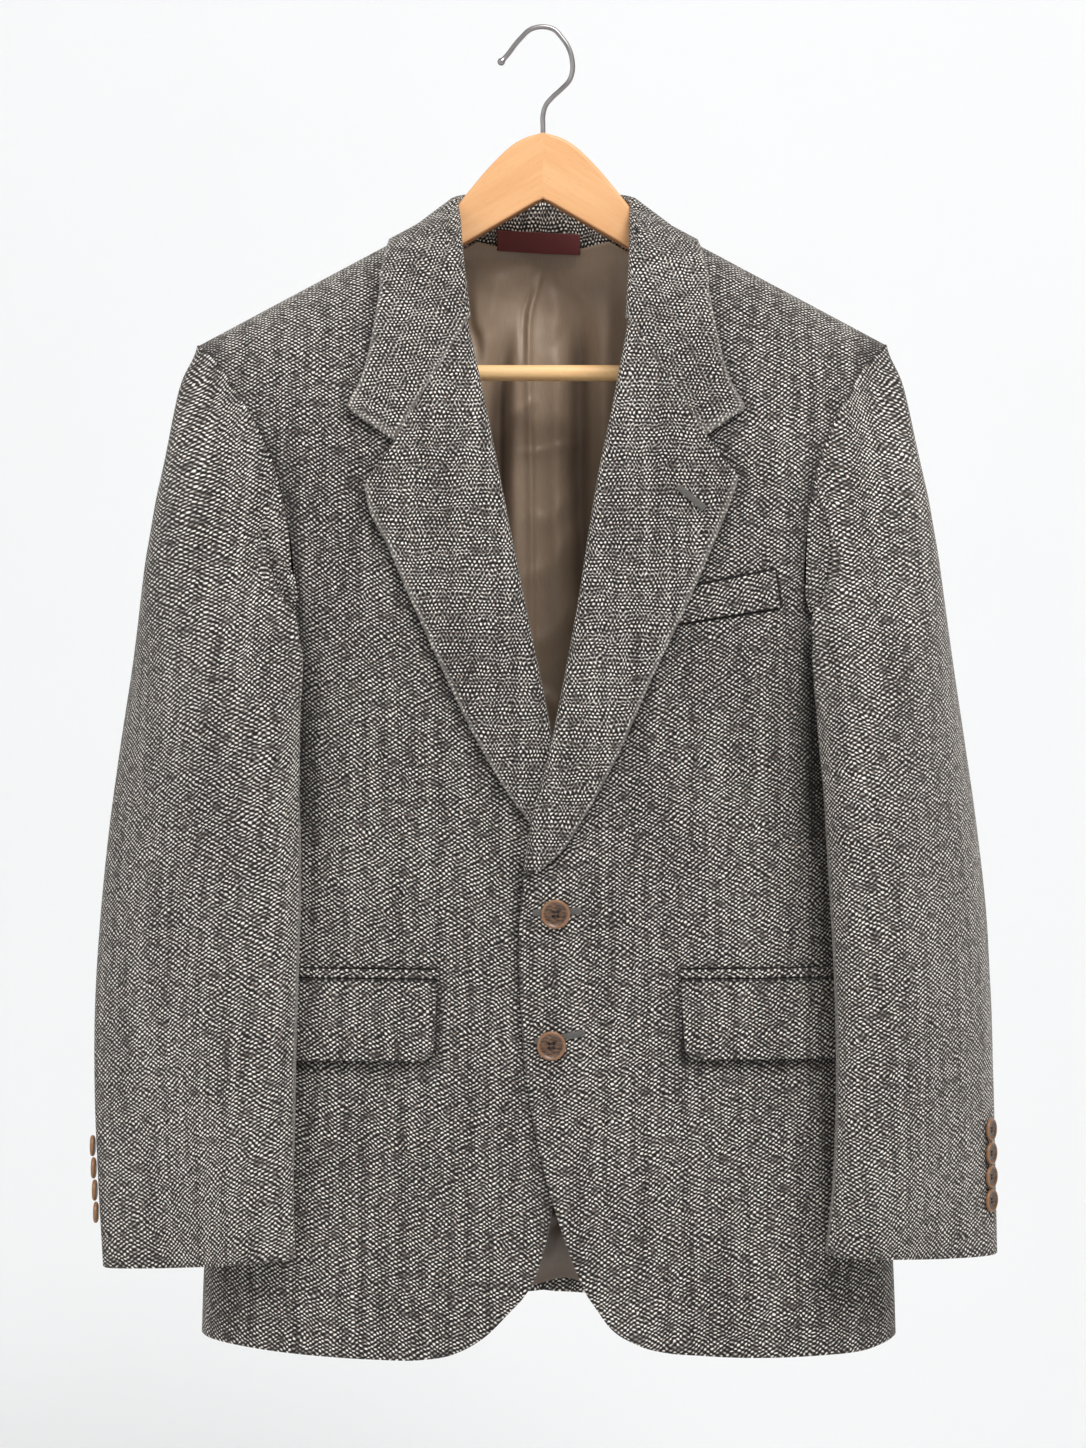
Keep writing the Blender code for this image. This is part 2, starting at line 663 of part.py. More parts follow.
def cap_section(around, z, side):
    """A half round bulge between the front and back edges of the armhole."""
    rows = SLEEVE_LEFT if side > 0 else SLEEVE_RIGHT
    level = np.maximum(z, CAP_BOTTOM)
    ends = []
    for column, part in ((1, "front"), (2, "back")):
        x = smooth(TRUNK, 2, level) + side * smooth(ARMHOLE, column, level)
        ends.append((side * x, surface_y(x, level, part, side)))
    (front_x, front_y), (back_x, back_y) = ends
    turned = (around + math.pi) % (2 * math.pi) - math.pi
    reach = np.where(turned > 0, CAP_FRONT, CAP_BACK)
    gamma = np.clip(turned / reach, -1, 1) * math.pi / 2
    share = (1 + np.sin(gamma)) / 2
    edge_x = mix(back_x, front_x, share) + ROOT_GAP
    x = edge_x + (smooth(rows, 1, z) - edge_x) * np.cos(gamma)
    full = mix(CAP_FULLNESS[0], CAP_FULLNESS[1], ramp(-z, -CAP_FULL_Z[0], -CAP_FULL_Z[1]))
    y = mix(back_y, front_y, share) - full * np.sign(gamma) * np.abs(np.sin(2 * gamma)) ** 0.6
    return np.stack([side * x, y, z], -1)


def sleeve_section(around, z, side):
    around, z = np.broadcast_arrays(around, z)
    hang = ramp(-z, -CAP_BOTTOM - 25, -CAP_BOTTOM + 70)[..., None]
    turned = around + TWIST * np.sin(around / 2) ** 2
    return mix(cap_section(around, z, side), hanging_section(turned, z, side), hang)


def clear_of_trunk(points, margin):
    """Move points that would meet the trunk out to a clearance around its ring."""
    x, y, z = points[..., 0], points[..., 1], points[..., 2]
    centre, half = smooth(TRUNK, 2, z), smooth(TRUNK, 1, z)
    depth = np.where(y < 0, smooth(TRUNK, 3, z), smooth(TRUNK, 4, z))
    level = (np.abs((x - centre) / (half + margin)) ** RING_POWER
             + np.abs(y / (depth + margin)) ** RING_POWER)
    scale = np.where(level < 1, np.maximum(level, 1e-6) ** (-1 / RING_POWER), 1.0)
    return np.stack([centre + (x - centre) * scale, y * scale, z], -1)


def sleeve_fold_depth(along, around):
    total = np.zeros(np.broadcast(along, around).shape)
    for at, angle, length, spread, depth in SLEEVE_FOLDS:
        turn = np.cos(around - math.radians(angle)) - 1
        wide = turn / (1 - math.cos(math.radians(spread)))
        total = total + depth * np.exp(-((along - at) / length) ** 2 + wide)
    return total


def free_and_cleared(side, around, along):
    """Points of a sleeve's outer face before and after they are moved clear of the trunk."""
    around, along = np.broadcast_arrays(np.asarray(around, float), np.asarray(along, float))
    root = armhole_ring(around, side)
    cuff = CUFF_LEFT if side > 0 else CUFF_RIGHT
    toward_outer = (1 + np.cos(around)) / 2
    z = mix(root[..., 2], mix(cuff[0], cuff[1], toward_outer), along)
    floor = float(trunk_point(side, SIDE_SEAM, ROW_UNDERARM, "front")[2])
    section = sleeve_section(around, z, side)
    reach = mix(ROOT_LENGTH[0], ROOT_LENGTH[1], np.sin(around / 2) ** 2)
    share = ramp((root[..., 2] - z) / reach, 0.0, 1.0)[..., None]
    points = mix(root, section, share)
    points[..., 2] = z
    fold = sleeve_fold_depth(along, around) * ramp(along, 0.0, 0.25)
    rows = SLEEVE_LEFT if side > 0 else SLEEVE_RIGHT
    hub = np.stack([side * (smooth(rows, 1, z) + smooth(rows, 2, z)) / 2, smooth(rows, 5, z), z], -1)
    ray = points - hub
    ray[..., 2] = 0
    length = np.maximum(np.linalg.norm(ray, axis=-1, keepdims=True), 1e-6)
    points = points + ray / length * (-fold)[..., None] * share
    turned = np.minimum(around % (2 * math.pi), (-around) % (2 * math.pi))
    under = ramp(turned, *UNDER_SPAN)
    fallen = np.where(z < floor, 1.0, under) * ramp(root[..., 2] - z, 0, 16)
    cleared = clear_of_trunk(points, TRUNK_CLEARANCE * fallen + ROOT_GAP + 0.8)
    moved = np.maximum(under, ramp(-z, -CLEAR_BELOW[0], -CLEAR_BELOW[1]))[..., None]
    return points, mix(points, cleared, moved)


def sleeve_point(side, around, along):
    """A point of a sleeve's outer face; along is 0 at the armhole and 1 at the cuff."""
    return free_and_cleared(side, around, along)[1]


def once_around(side, free, cleared):
    """A row of the under panel, which runs along the trunk once from front to back."""
    moved = np.nonzero(np.linalg.norm(cleared - free, axis=-1) > 0.05)[0]
    if len(moved) < 3:
        return cleared
    part = slice(moved[0], moved[-1] + 1)
    x, y, z = cleared[part].T
    centre = smooth(TRUNK, 2, z)
    turn = np.arctan2(y, side * (x - centre))
    reach = np.hypot(x - centre, y)
    order = np.argsort(turn)
    even = np.linspace(turn[0], turn[-1], len(turn))
    even_reach = np.interp(even, turn[order], reach[order])
    line = cleared.copy()
    line[part] = np.stack([centre + side * even_reach * np.cos(even), even_reach * np.sin(even), z], -1)
    return line


def under_face(side, around, along):
    """The under panel's outer face, its columns spaced by length along each row."""
    columns = around.shape[1]
    steps = np.linspace(0, columns - 1, (columns - 1) * FINE_STEPS + 1)
    rows = []
    for turns, at in zip(around, along[:, 0]):
        fine = np.interp(steps, np.arange(columns), turns)
        rows.append(once_around(side, *free_and_cleared(side, fine, np.full(len(fine), at)))
                    if at > 0 else armhole_ring(fine, side))
    even = np.linspace(0, 1, columns)
    outer = np.empty(around.shape + (3,))
    for r, line in enumerate(rows):
        length = np.concatenate([[0], np.cumsum(np.linalg.norm(np.diff(line, axis=0), axis=-1))])
        length /= length[-1]
        if r == 0:
            root = length[::FINE_STEPS]
        level = mix(root, even, ramp(along[r, 0], 0.0, 0.3))
        outer[r] = np.stack([np.interp(level, length, line[:, axis]) for axis in range(3)], -1)
    return settled(outer)


def settled(outer):
    """The under panel drawn smooth below the armhole, between its root and its seams."""
    keep = ramp(np.arange(len(outer)), SETTLED_ROWS, SETTLED_ROWS + 4)[1:-1, None, None]
    for _ in range(SETTLING):
        middle = (outer[:-2, 1:-1] + outer[2:, 1:-1] + outer[1:-1, :-2] + outer[1:-1, 2:]) / 4
        outer[1:-1, 1:-1] = mix(middle, outer[1:-1, 1:-1], keep)
        inside = outer[1:-1, 1:-1]
        below = ramp(outer[0, 1:-1, 2] - inside[..., 2], 0, 16)
        outer[1:-1, 1:-1] = clear_of_trunk(inside, ROOT_GAP + 0.8 + TRUNK_CLEARANCE * below)
    return outer


def sleeve_grid(side, part):
    """Angles around a sleeve panel: at the armhole they meet the rows of the trunk panels."""
    along = spaced_rows(SLEEVE_ROWS)
    turns = around_at(armhole_rows())
    gap = SEAM_GAP / 2 / 60.0
    if part == "top":
        root = np.concatenate([-turns[BACK_SEAM_ROW:0:-1], turns[:FRONT_SEAM_ROW + 1]])
        ends = (BACK_SEAM_CUFF[side] - 2 * math.pi, FRONT_SEAM_CUFF)
    else:
        root = np.concatenate([turns[FRONT_SEAM_ROW:], 2 * math.pi - turns[-2:BACK_SEAM_ROW - 1:-1]])
        ends = (FRONT_SEAM_CUFF, BACK_SEAM_CUFF[side])
    root[0] += gap
    root[-1] -= gap
    even = np.linspace(ends[0] + gap, ends[1] - gap, len(root))
    level = (root - root[0]) / (root[-1] - root[0])
    share = ramp(along, 0.0, 1.0)[:, None]
    seams = mix(root[0], even[0], share), mix(root[-1], even[-1], share)
    spread = mix(level, np.linspace(0, 1, len(root)), ramp(along, 0.0, 0.3)[:, None])
    around = mix(seams[0], seams[1], spread)
    return around, np.broadcast_to(along[:, None], around.shape)


def sleeve_wall(side, around, along):
    """Outer and inner faces of a sleeve panel; its root stands clear of the armhole's edge."""
    step = 2e-3
    under = around[0, 0] > 0
    outer = (under_face if under else sleeve_point)(side, around, along)
    du = sleeve_point(side, around + step, along) - sleeve_point(side, around - step, along)
    dv = sleeve_point(side, around, along + step) - sleeve_point(side, around, np.maximum(along - step, 0))
    normal = np.cross(du, dv)
    normal /= np.maximum(np.linalg.norm(normal, axis=-1, keepdims=True), 1e-9)
    if under:
        normal[:, 1:-1] = grid_normals(outer)[:, 1:-1]
    shift = np.array([side * ROOT_GAP, 0, 0])
    ring = armhole_ring(around[0], side)
    edge = armhole_ring(around[0] + step, side) - armhole_ring(around[0] - step, side)
    facing = ring - armhole_ring(around[0], side, -TWEED)
    facing /= np.linalg.norm(facing, axis=-1, keepdims=True)
    opening = side * np.cross(facing, edge)
    opening /= np.maximum(np.linalg.norm(opening, axis=-1, keepdims=True), 1e-9)
    turned = (math.pi * ramp(armhole_row(around[0]), *ROOT_TURN))[:, None]
    outer[0] = ring + shift
    at_root = opening * np.sin(turned) - facing * np.cos(turned)
    wall = mix(at_root[None], -side * normal, ramp(along, *ROOT_BLEND)[..., None])
    wall /= np.linalg.norm(wall, axis=-1, keepdims=True)
    for _ in range(WALL_EVENING if under else 0):
        wall[1:-1, 1:-1] += wall[:-2, 1:-1] + wall[2:, 1:-1] + wall[1:-1, :-2] + wall[1:-1, 2:]
        wall[1:-1] /= np.linalg.norm(wall[1:-1], axis=-1, keepdims=True)
    return outer, outer + TWEED * wall


def build_sleeves(tweed):
    for side, name in ((1, "left"), (-1, "right")):
        for part in ("top", "under"):
            around, along = sleeve_grid(side, part)
            outer, inner = sleeve_wall(side, around, along)
            if part == "top":
                lower = [face[ELBOW_ROW:].copy() for face in (outer, inner)]
                for face in lower:
                    face[0, :, 2] -= SEAM_GAP
                place(wall_mesh(f"sleeve_top_lower_{name}", *lower), tweed)
                outer, inner = outer[:ELBOW_ROW + 1], inner[:ELBOW_ROW + 1]
            place(wall_mesh(f"sleeve_{part}_{name}", outer, inner), tweed)


# ---------------------------------------------------------------- pockets

def on_trunk(side, angle, z, out):
    """A point on the front at a ring angle and height, moved out."""
    half = smooth(TRUNK, 1, z)
    x = smooth(TRUNK, 2, z) + side * half * np.sin(angle)
    return np.stack([x + side * out * np.abs(np.sin(angle)) ** 4,
                     surface_y(x, z, "front", side, out), z + 0 * x], -1)


def patch(name, side, angle, z, near, far, made):
    outer = on_trunk(side, angle, z, far)
    inner = on_trunk(side, angle, z, near)
    place(wall_mesh(name, outer, inner), made)


def build_pockets(tweed):
    for side, name, flap in ((1, "left", FLAP_LEFT), (-1, "right", FLAP_RIGHT)):
        inner = float(ring_angle(flap["inner"], flap["top"], side, "front"))
        angle = np.linspace(inner, flap["outer"], 12)
        heights = np.linspace(flap["top"], flap["bottom"], 4)
        grid_angle, grid_z = np.meshgrid(angle, heights)
        patch(f"flap_{name}", side, grid_angle, grid_z, FLAP_GAP, FLAP_GAP + FLAP_THICKNESS, tweed)
        ends = (inner - JET_OVERHANG / 200, flap["outer"])
        grid_angle, grid_z = np.meshgrid(np.linspace(*ends, 12), flap["top"] + SEAM_GAP
                                         + np.array([JET_HEIGHT, 0.0]))
        patch(f"jet_{name}", side, grid_angle, grid_z, FLAP_GAP, FLAP_GAP + JET_THICKNESS, tweed)
    u, v = np.meshgrid(np.linspace(0, 1, 7), np.linspace(0, 1, 3))
    top, bottom = np.array(WELT["top"]), np.array(WELT["bottom"])
    flat = mix(mix(top[0], top[1], u[..., None]), mix(bottom[0], bottom[1], u[..., None]), v[..., None])
    x, z = flat[..., 0], flat[..., 1]
    outer = np.stack([x, surface_y(x, z, "front", 1, SEAM_GAP + WELT_THICKNESS), z], -1)
    inner = np.stack([x, surface_y(x, z, "front", 1, SEAM_GAP), z], -1)
    place(wall_mesh("chest_welt", outer, inner), tweed)


# ---------------------------------------------------------------- lining and label

LINING_GAP = (0.95, 3.4)
LINING_SEWN = 0.04
LINING_TOP = -147.5
LINING_HALF_WIDTH = 166.0
LINING_ABOVE_HEM = 17.0
PLEAT = {"x": -9.0, "lean": 0.02, "half_width": 7.0, "depth": 3.0}


def build_lining(satin, tape):
    """The back lining: a sheet inside the backs, from the neck seam to just above the hem."""
    x = np.linspace(-LINING_HALF_WIDTH, LINING_HALF_WIDTH, 25)
    along = np.concatenate([[0, LINING_SEWN / 2], np.linspace(LINING_SEWN, 1 - LINING_SEWN, 15),
                            [1 - LINING_SEWN / 2, 1]])
    grid_x, grid_v = np.meshgrid(x, along)
    top = np.minimum(LINING_TOP, shoulder_height(grid_x) - 26)
    z = mix(top, hem_height(grid_x, "back", 1) + LINING_ABOVE_HEM, grid_v)
    sewn = np.minimum(grid_v, 1 - grid_v)
    gap = mix(LINING_GAP[0], LINING_GAP[1], ramp(sewn, 0.0, LINING_SEWN))
    y = surface_y(grid_x, z, "back", 1, -TWEED) - gap
    pleat_x = PLEAT["x"] + PLEAT["lean"] * (z - LINING_TOP)
    pleat = PLEAT["depth"] * np.exp(-((grid_x - pleat_x) / PLEAT["half_width"]) ** 2)
    y = y - pleat * ramp(sewn, 0.0, LINING_SEWN)
    face = np.stack([grid_x, y, z], -1)
    place(wall_mesh("lining_back", face, face - np.array([0, LINING, 0])), satin)
    place_label(tape)


def place_label(tape):
    """A bare woven tape across the neck seam, just in front of the stand and lining."""
    x = np.linspace(-32.5, 26.0, 7)
    z = np.array([-134.5, -141.5, -149.0])
    grid_x, grid_z = np.meshgrid(x, z)
    y = 42.0 - 6.5 * (grid_x / 60) ** 2 + 0.12 * (grid_z + 140)
    face = np.stack([grid_x, y, grid_z - 0.05 * grid_x], -1)
    place(wall_mesh("label", face, face + np.array([0, 0.9, 0])), tape)


# ---------------------------------------------------------------- buttons

def button_mesh(name, radius, thickness, segments, hole=None):
    """A turned button along +Z with a raised rim and, where given, four thread holes."""
    profile = ((0.0, 0.0), (0.72, 0.0), (0.96, 0.28), (1.0, 0.55), (0.93, 0.92),
               (0.84, 1.0), (0.72, 0.72), (0.0, 0.66))
    bm = bmesh.new()
    rings = []
    for share, height in profile[1:-1]:
        ring = []
        for k in range(segments):
            turn = 2 * math.pi * k / segments
            ring.append(bm.verts.new((radius * share * math.cos(turn) * MM,
                                      radius * share * math.sin(turn) * MM, height * thickness * MM)))
        rings.append(ring)
    for low, high in zip(rings, rings[1:]):
        for k in range(segments):
            n = (k + 1) % segments
            bm.faces.new((low[k], low[n], high[n], high[k]))
    bm.faces.new(rings[0][::-1])
    bm.faces.new(rings[-1])
    mesh = bpy.data.meshes.new(name)
    bm.to_mesh(mesh)
    bm.free()
    face_out(mesh)
    return mesh


def cut_holes(item, radius, offset, depth):
    for k in range(4):
        turn = math.radians(45 + 90 * k)
        bpy.ops.mesh.primitive_cylinder_add(vertices=8, radius=radius * MM, depth=depth * MM)
        cutter = bpy.context.object
        cutter.name = f"{item.name}_hole_{k}"
        cutter.parent = item
        cutter.location = (offset * math.cos(turn) * MM, offset * math.sin(turn) * MM, 0)
        cutter.hide_render = True
        cutter.display_type = "WIRE"
        cut = item.modifiers.new("hole", "BOOLEAN")
        cut.operation = "DIFFERENCE"
        cut.object = cutter


def aim(item, point, normal):
    """Put a button's foot at a point, facing along a direction."""
    item.location = Vector([float(c) * MM for c in point])
    item.rotation_mode = "QUATERNION"
    item.rotation_quaternion = Vector([float(c) for c in normal]).to_track_quat("Z", "Y")


def build_buttons(horn):
    radius, thickness, hole, offset = FRONT_BUTTON
    for number, (x, z) in enumerate(FRONT_BUTTON_PLACES, 1):
        item = place(button_mesh(f"button_front_{number}", radius, thickness, 24), horn)
        reach = np.linspace(-radius, radius, 5)
        y = float(np.min(surface_y(x + reach, z, "front", 1))) - 0.5
        aim(item, (x, y, z), (0, -1, 0))
        cut_holes(item, hole, offset, 12)
    for side, name in ((1, "left"), (-1, "right")):
        around = BACK_SEAM_CUFF[side] + CUFF_BUTTON_TURN[side]
        cuff = CUFF_LEFT[1] if side > 0 else CUFF_RIGHT[1]
        radius, thickness = CUFF_BUTTON[side]
        for number in range(1, 5):
            z = CUFF_BUTTON_LOWEST[side] + CUFF_BUTTON_PITCH[side] * (4 - number)
            along = (SHOULDER_Z[1] - z) / (SHOULDER_Z[1] - cuff)
            point = sleeve_point(side, around, along)
            du = sleeve_point(side, around + 0.05, along) - sleeve_point(side, around - 0.05, along)
            normal = np.cross(du, (0, 0, 1.0))
            normal /= np.linalg.norm(normal)
            normal *= np.sign(normal[0] * side) or 1
            item = place(button_mesh(f"button_cuff_{name}_{number}", radius, thickness, 14), horn)
            aim(item, point + normal * 1.0, normal)


# ---------------------------------------------------------------- hanger

def wood_outline():
    """Half of the hanger's outline, from the crown along the arm and back underneath."""
    upper = list(WOOD_TOP)
    for x in np.linspace(90, WOOD_ARM_END, 8):
        upper.append((float(x), float(shoulder_height(x)) - WOOD_BELOW_SHOULDER))
    end_x, end_z = upper[-1]
    tip = [(end_x + 3.0, end_z - 6.0), (end_x + 2.5, end_z - 16.0), (LOBE[1], LOBE[2] + 6),
           (LOBE[1] - 6, LOBE[2]), (LOBE[0] + 6, LOBE[2]), (LOBE[0], LOBE[2] + 6)]
    slope = (WOOD_NOTCH[1][1] - WOOD_NOTCH[0][1]) / WOOD_NOTCH[1][0]
    lower = [(LOBE[0], WOOD_NOTCH[0][1] + slope * LOBE[0])]
    for x in (140.0, 100.0, 61.0, 30.0):
        lower.append((x, WOOD_NOTCH[0][1] + slope * x))
    lower.append(WOOD_NOTCH[0])
    return upper + tip + lower


def build_hanger(wood, steel):
    for side, name in ((1, "left"), (-1, "right")):
        outline = [(max(x, SEAM_GAP / 2) * side, z) for x, z in wood_outline()]
        bm = bmesh.new()
        near = [bm.verts.new((x * MM, -WOOD_THICKNESS / 2 * MM, z * MM)) for x, z in outline]
        face = bm.faces.new(near)
        swept = bmesh.ops.extrude_face_region(bm, geom=[face])
        moved = [v for v in swept["geom"] if isinstance(v, bmesh.types.BMVert)]
        bmesh.ops.translate(bm, verts=moved, vec=(0, WOOD_THICKNESS * MM, 0))
        mesh = bpy.data.meshes.new(f"hanger_{name}")
        bm.to_mesh(mesh)
        bm.free()
        face_out(mesh)
        item = place(mesh, wood)
        bevel = item.modifiers.new("eased edges", "BEVEL")
        bevel.width = 1.6 * MM
        bevel.segments = 2
        bevel.limit_method = "ANGLE"
        bevel.angle_limit = math.radians(50)
        bpy.ops.mesh.primitive_cylinder_add(vertices=12, radius=(HOOK_RADIUS + 0.3) * MM,
                                            depth=2 * BORE_DEPTH * MM)
        cutter = bpy.context.object
        cutter.name = f"bore_{name}"
        cutter.location = (0, 0, WOOD_TOP[0][1] * MM)
        cutter.hide_render = True
        cutter.display_type = "WIRE"
        cut = item.modifiers.new("hook bore", "BOOLEAN")
        cut.operation = "DIFFERENCE"
        cut.object = cutter
    bpy.ops.mesh.primitive_cylinder_add(vertices=16, radius=BAR_RADIUS * MM, depth=2 * BAR_HALF * MM)
    bar = bpy.context.object
    bar.name = "trouser_bar"
    bar.location = (0, 0, BAR_Z * MM)
    bar.rotation_euler = (0, math.pi / 2, 0)
    bar.data.materials.append(wood)
    build_hook(steel)


def smooth_path(points, samples):
    path = np.array(points, float)
    steps = np.concatenate([[0], np.cumsum(np.linalg.norm(np.diff(path, axis=0), axis=1))])
    rows = np.column_stack([steps, path])
    at = np.linspace(0, steps[-1], samples)
    return np.stack([smooth(rows, 1, at), smooth(rows, 2, at)], -1)


def build_hook(steel):
    """Bent wire with a rounded tip, swept as one tube of rings in the XZ plane."""
    path = smooth_path(HOOK_PATH, 40)
    tangent = np.gradient(path, axis=0)
    tangent /= np.linalg.norm(tangent, axis=1, keepdims=True)
    ball = [(-2.6, 0.35), (-2.1, 0.72), (-0.9, 1.0), (0.6, 0.95), (1.8, 0.72)]
    stations = [(path[0] + tangent[0] * shift, tangent[0], HOOK_BALL * share) for shift, share in ball]
    stations += [(path[k], tangent[k], HOOK_RADIUS) for k in range(2, len(path))]
    sides = 10
    rings = []
    for centre, direction, radius in stations:
        across = np.array([direction[1], -direction[0]])
        turn = 2 * math.pi * np.arange(sides) / sides
        x = centre[0] + across[0] * radius * np.cos(turn)
        z = centre[1] + across[1] * radius * np.cos(turn)
        rings.append(np.stack([x, radius * np.sin(turn), z], -1))
    bm = bmesh.new()
    loops = [[bm.verts.new(tuple(p * MM)) for p in ring] for ring in rings]
    for low, high in zip(loops, loops[1:]):
        for k in range(sides):
            n = (k + 1) % sides
            bm.faces.new((low[k], low[n], high[n], high[k]))
    bm.faces.new(loops[0][::-1])
    bm.faces.new(loops[-1])
    mesh = bpy.data.meshes.new("hook")
    bm.to_mesh(mesh)
    bm.free()
    face_out(mesh)
    place(mesh, steel)


# ---------------------------------------------------------------- build

def main():
    for item in list(bpy.data.objects):
        bpy.data.objects.remove(item)
    tweed = material("tweed", (0.17, 0.155, 0.14), 0.95)
    satin = material("lining satin", (0.21, 0.16, 0.12), 0.45)
    tape = material("label tape", (0.07, 0.012, 0.014), 0.7)
    horn = material("horn", (0.09, 0.045, 0.02), 0.4)
    wood = material("maple", (0.85, 0.55, 0.27), 0.5)
    steel = material("steel wire", (0.45, 0.43, 0.42), 0.35, 1.0)
    build_trunk(tweed)
    build_lapels(tweed)
    build_collar(tweed)
    build_sleeves(tweed)
    build_pockets(tweed)
    build_lining(satin, tape)
    build_buttons(horn)
    build_hanger(wood, steel)


main()
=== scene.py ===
"""A tweed jacket, two-button and single breasted, hanging on a wooden hanger.

Lengths in the tables are millimetres, and a mesh is scaled to metres when it is made.
+X is the wearer's left, -Y is the front and +Z is up.  The origin is the inner top of
the hanger's hook.  `side` is +1 for the wearer's left and -1 for the right.
"""
import math

import bpy
import numpy as np
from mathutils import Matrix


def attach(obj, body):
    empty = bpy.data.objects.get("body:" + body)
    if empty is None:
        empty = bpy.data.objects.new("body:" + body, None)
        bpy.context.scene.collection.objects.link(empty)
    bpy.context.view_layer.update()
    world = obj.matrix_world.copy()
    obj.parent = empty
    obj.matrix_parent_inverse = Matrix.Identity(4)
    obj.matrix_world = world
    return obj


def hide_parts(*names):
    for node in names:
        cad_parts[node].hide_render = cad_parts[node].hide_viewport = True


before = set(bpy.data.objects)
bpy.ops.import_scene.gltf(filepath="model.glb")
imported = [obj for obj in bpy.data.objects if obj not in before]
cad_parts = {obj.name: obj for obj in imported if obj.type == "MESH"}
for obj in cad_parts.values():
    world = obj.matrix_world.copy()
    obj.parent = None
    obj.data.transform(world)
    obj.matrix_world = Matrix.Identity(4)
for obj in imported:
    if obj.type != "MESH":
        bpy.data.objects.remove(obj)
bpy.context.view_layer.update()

# -------------------- fronts and backs
# The two fronts and two backs are cut from a birdseye tweed, charcoal warp and ivory
# weft.  They are sewn at the shoulder, side and centre back seams, and hang from the
# hanger's arms.

MM = 0.001
SEAM_GAP = 0.36
TWEED = 2.4
TRUNK_RADIUS = 200.0
FIRST_GUESS = 150.0
RIM_BULGE = 0.42

TRUNK = np.array([
    # height, half width, centre x, front depth, back depth
    (-90, 262, -1.0, 52, 62),
    (-219, 262, -1.0, 64, 62),
    (-300, 240, 2.0, 76, 63),
    (-380, 220, 4.0, 84, 63),
    (-450, 207, 4.0, 85, 61),
    (-540, 207, 4.0, 81, 57),
    (-650, 219, 4.0, 79, 54),
    (-760, 232, 4.0, 80, 56),
    (-850, 240, 4.0, 82, 58),
    (-930, 243, 4.0, 83, 60),
])
RING_POWER = 2.6
SHOULDER_X = (72.0, 240.0)
SHOULDER_Z = (-129.5, -219.0)
ARCH_HEIGHT = 120.0
ARCH_DEPTH = 70.0
RIDGE_EASE = 9.0
SIDE_SEAM = math.radians(100)
FIRST_ROW = 0.0025
PANEL_COLUMNS = (("front", 84), ("back", 44))
COLUMN_SPREAD = {"front": 1.35, "back": 1.0}
ARMHOLE = np.array([
    # height, front edge, back edge
    (-210, 247, 247),
    (-219, 240, 240),
    (-234, 226, 229),
    (-250, 215, 219),
    (-270, 203, 208),
    (-304, 187, 192),
    (-341, 178.5, 183),
    (-370, 175, 179),
    (-401, 174, 178),
    (-450, 174, 178),
])
# Rows where the armhole's edge starts to turn under the arm, and where it meets the side.
ROW_TURN = 1.13
ROW_UNDERARM = 1.205
EDGE = {1: np.array([
    # height, x
    (-129, 72.0), (-139, 66.0), (-160, 64.3), (-209, 56.9), (-265, 47.0), (-320, 36.0),
    (-411, 21.7), (-499, 5.4), (-582, -11.5), (-613, -14.9), (-665, -14.9), (-709, -12.2),
    (-749, -6.8), (-799, 4.7), (-836, 16.3), (-877, 34.0), (-890, 42.0),
]), -1: np.array([
    # height, x
    (-129, -72.0), (-139, -66.0), (-157, -60.5), (-211, -50.0), (-271, -37.5), (-349, -22.4),
    (-441, -4.1), (-489, 5.4), (-535, 12.5), (-590, 16.0), (-720, 16.0), (-775, 12.0),
    (-810, 6.1), (-838, 0.7), (-868, -10.8), (-880, -20.0), (-892, -31.0),
])}
HEM = {1: np.array([
    # x, height
    (34, -877), (45, -892), (63, -903.7), (84, -909.8), (106, -912), (190, -914),
    (220, -913), (247, -908), (280, -908),
]), -1: np.array([
    # x, height
    (-280, -908), (-239, -907), (-211, -909), (-188, -911), (-150, -913.5), (-116, -915),
    (-82, -914.7), (-61, -910.6), (-39, -898.5), (-20, -880),
])}
HEM_BACK = -889.0
HEM_BACK_SIDE = -909.0
HEM_MEETS = 200.0
BACK_NECK_END = 0.62
LAP_FROM = 62.0
LAP_TO = 14.0
LAP_LIFT = 3.2
LAPEL_LIFT = 5.8
LAPEL_LIFT_Z = -545.0
LAPEL_LIFT_SPAN = 95.0
FOLDS = np.array([
    # x, top, bottom, lean, half width, depth inwards
    (-128, -560, -905, 6, 30, 2.0),
    (-60, -700, -910, -8, 26, -2.6),
    (118, -600, -905, -4, 32, 1.8),
    (70, -720, -905, 6, 22, -2.4),
    (-134, -350, -560, 22, 26, 2.2),
    (142, -350, -560, -20, 26, 2.0),
])
FOLD_SWAY = (3.0, 5.0)
BACK_FOLDS = np.array([
    # x, top, bottom, lean, half width, depth inwards
    (-110, -260, -900, 14, 26, 3.4),
    (-40, -480, -895, -6, 24, -2.6),
    (52, -430, -895, 8, 24, 3.0),
    (126, -280, -900, -12, 26, 3.2),
])

# How far the cloth turns back on itself along the roll line.
ROLL = 3.4
ROLL_ENDS = (-500.0, -572.0)

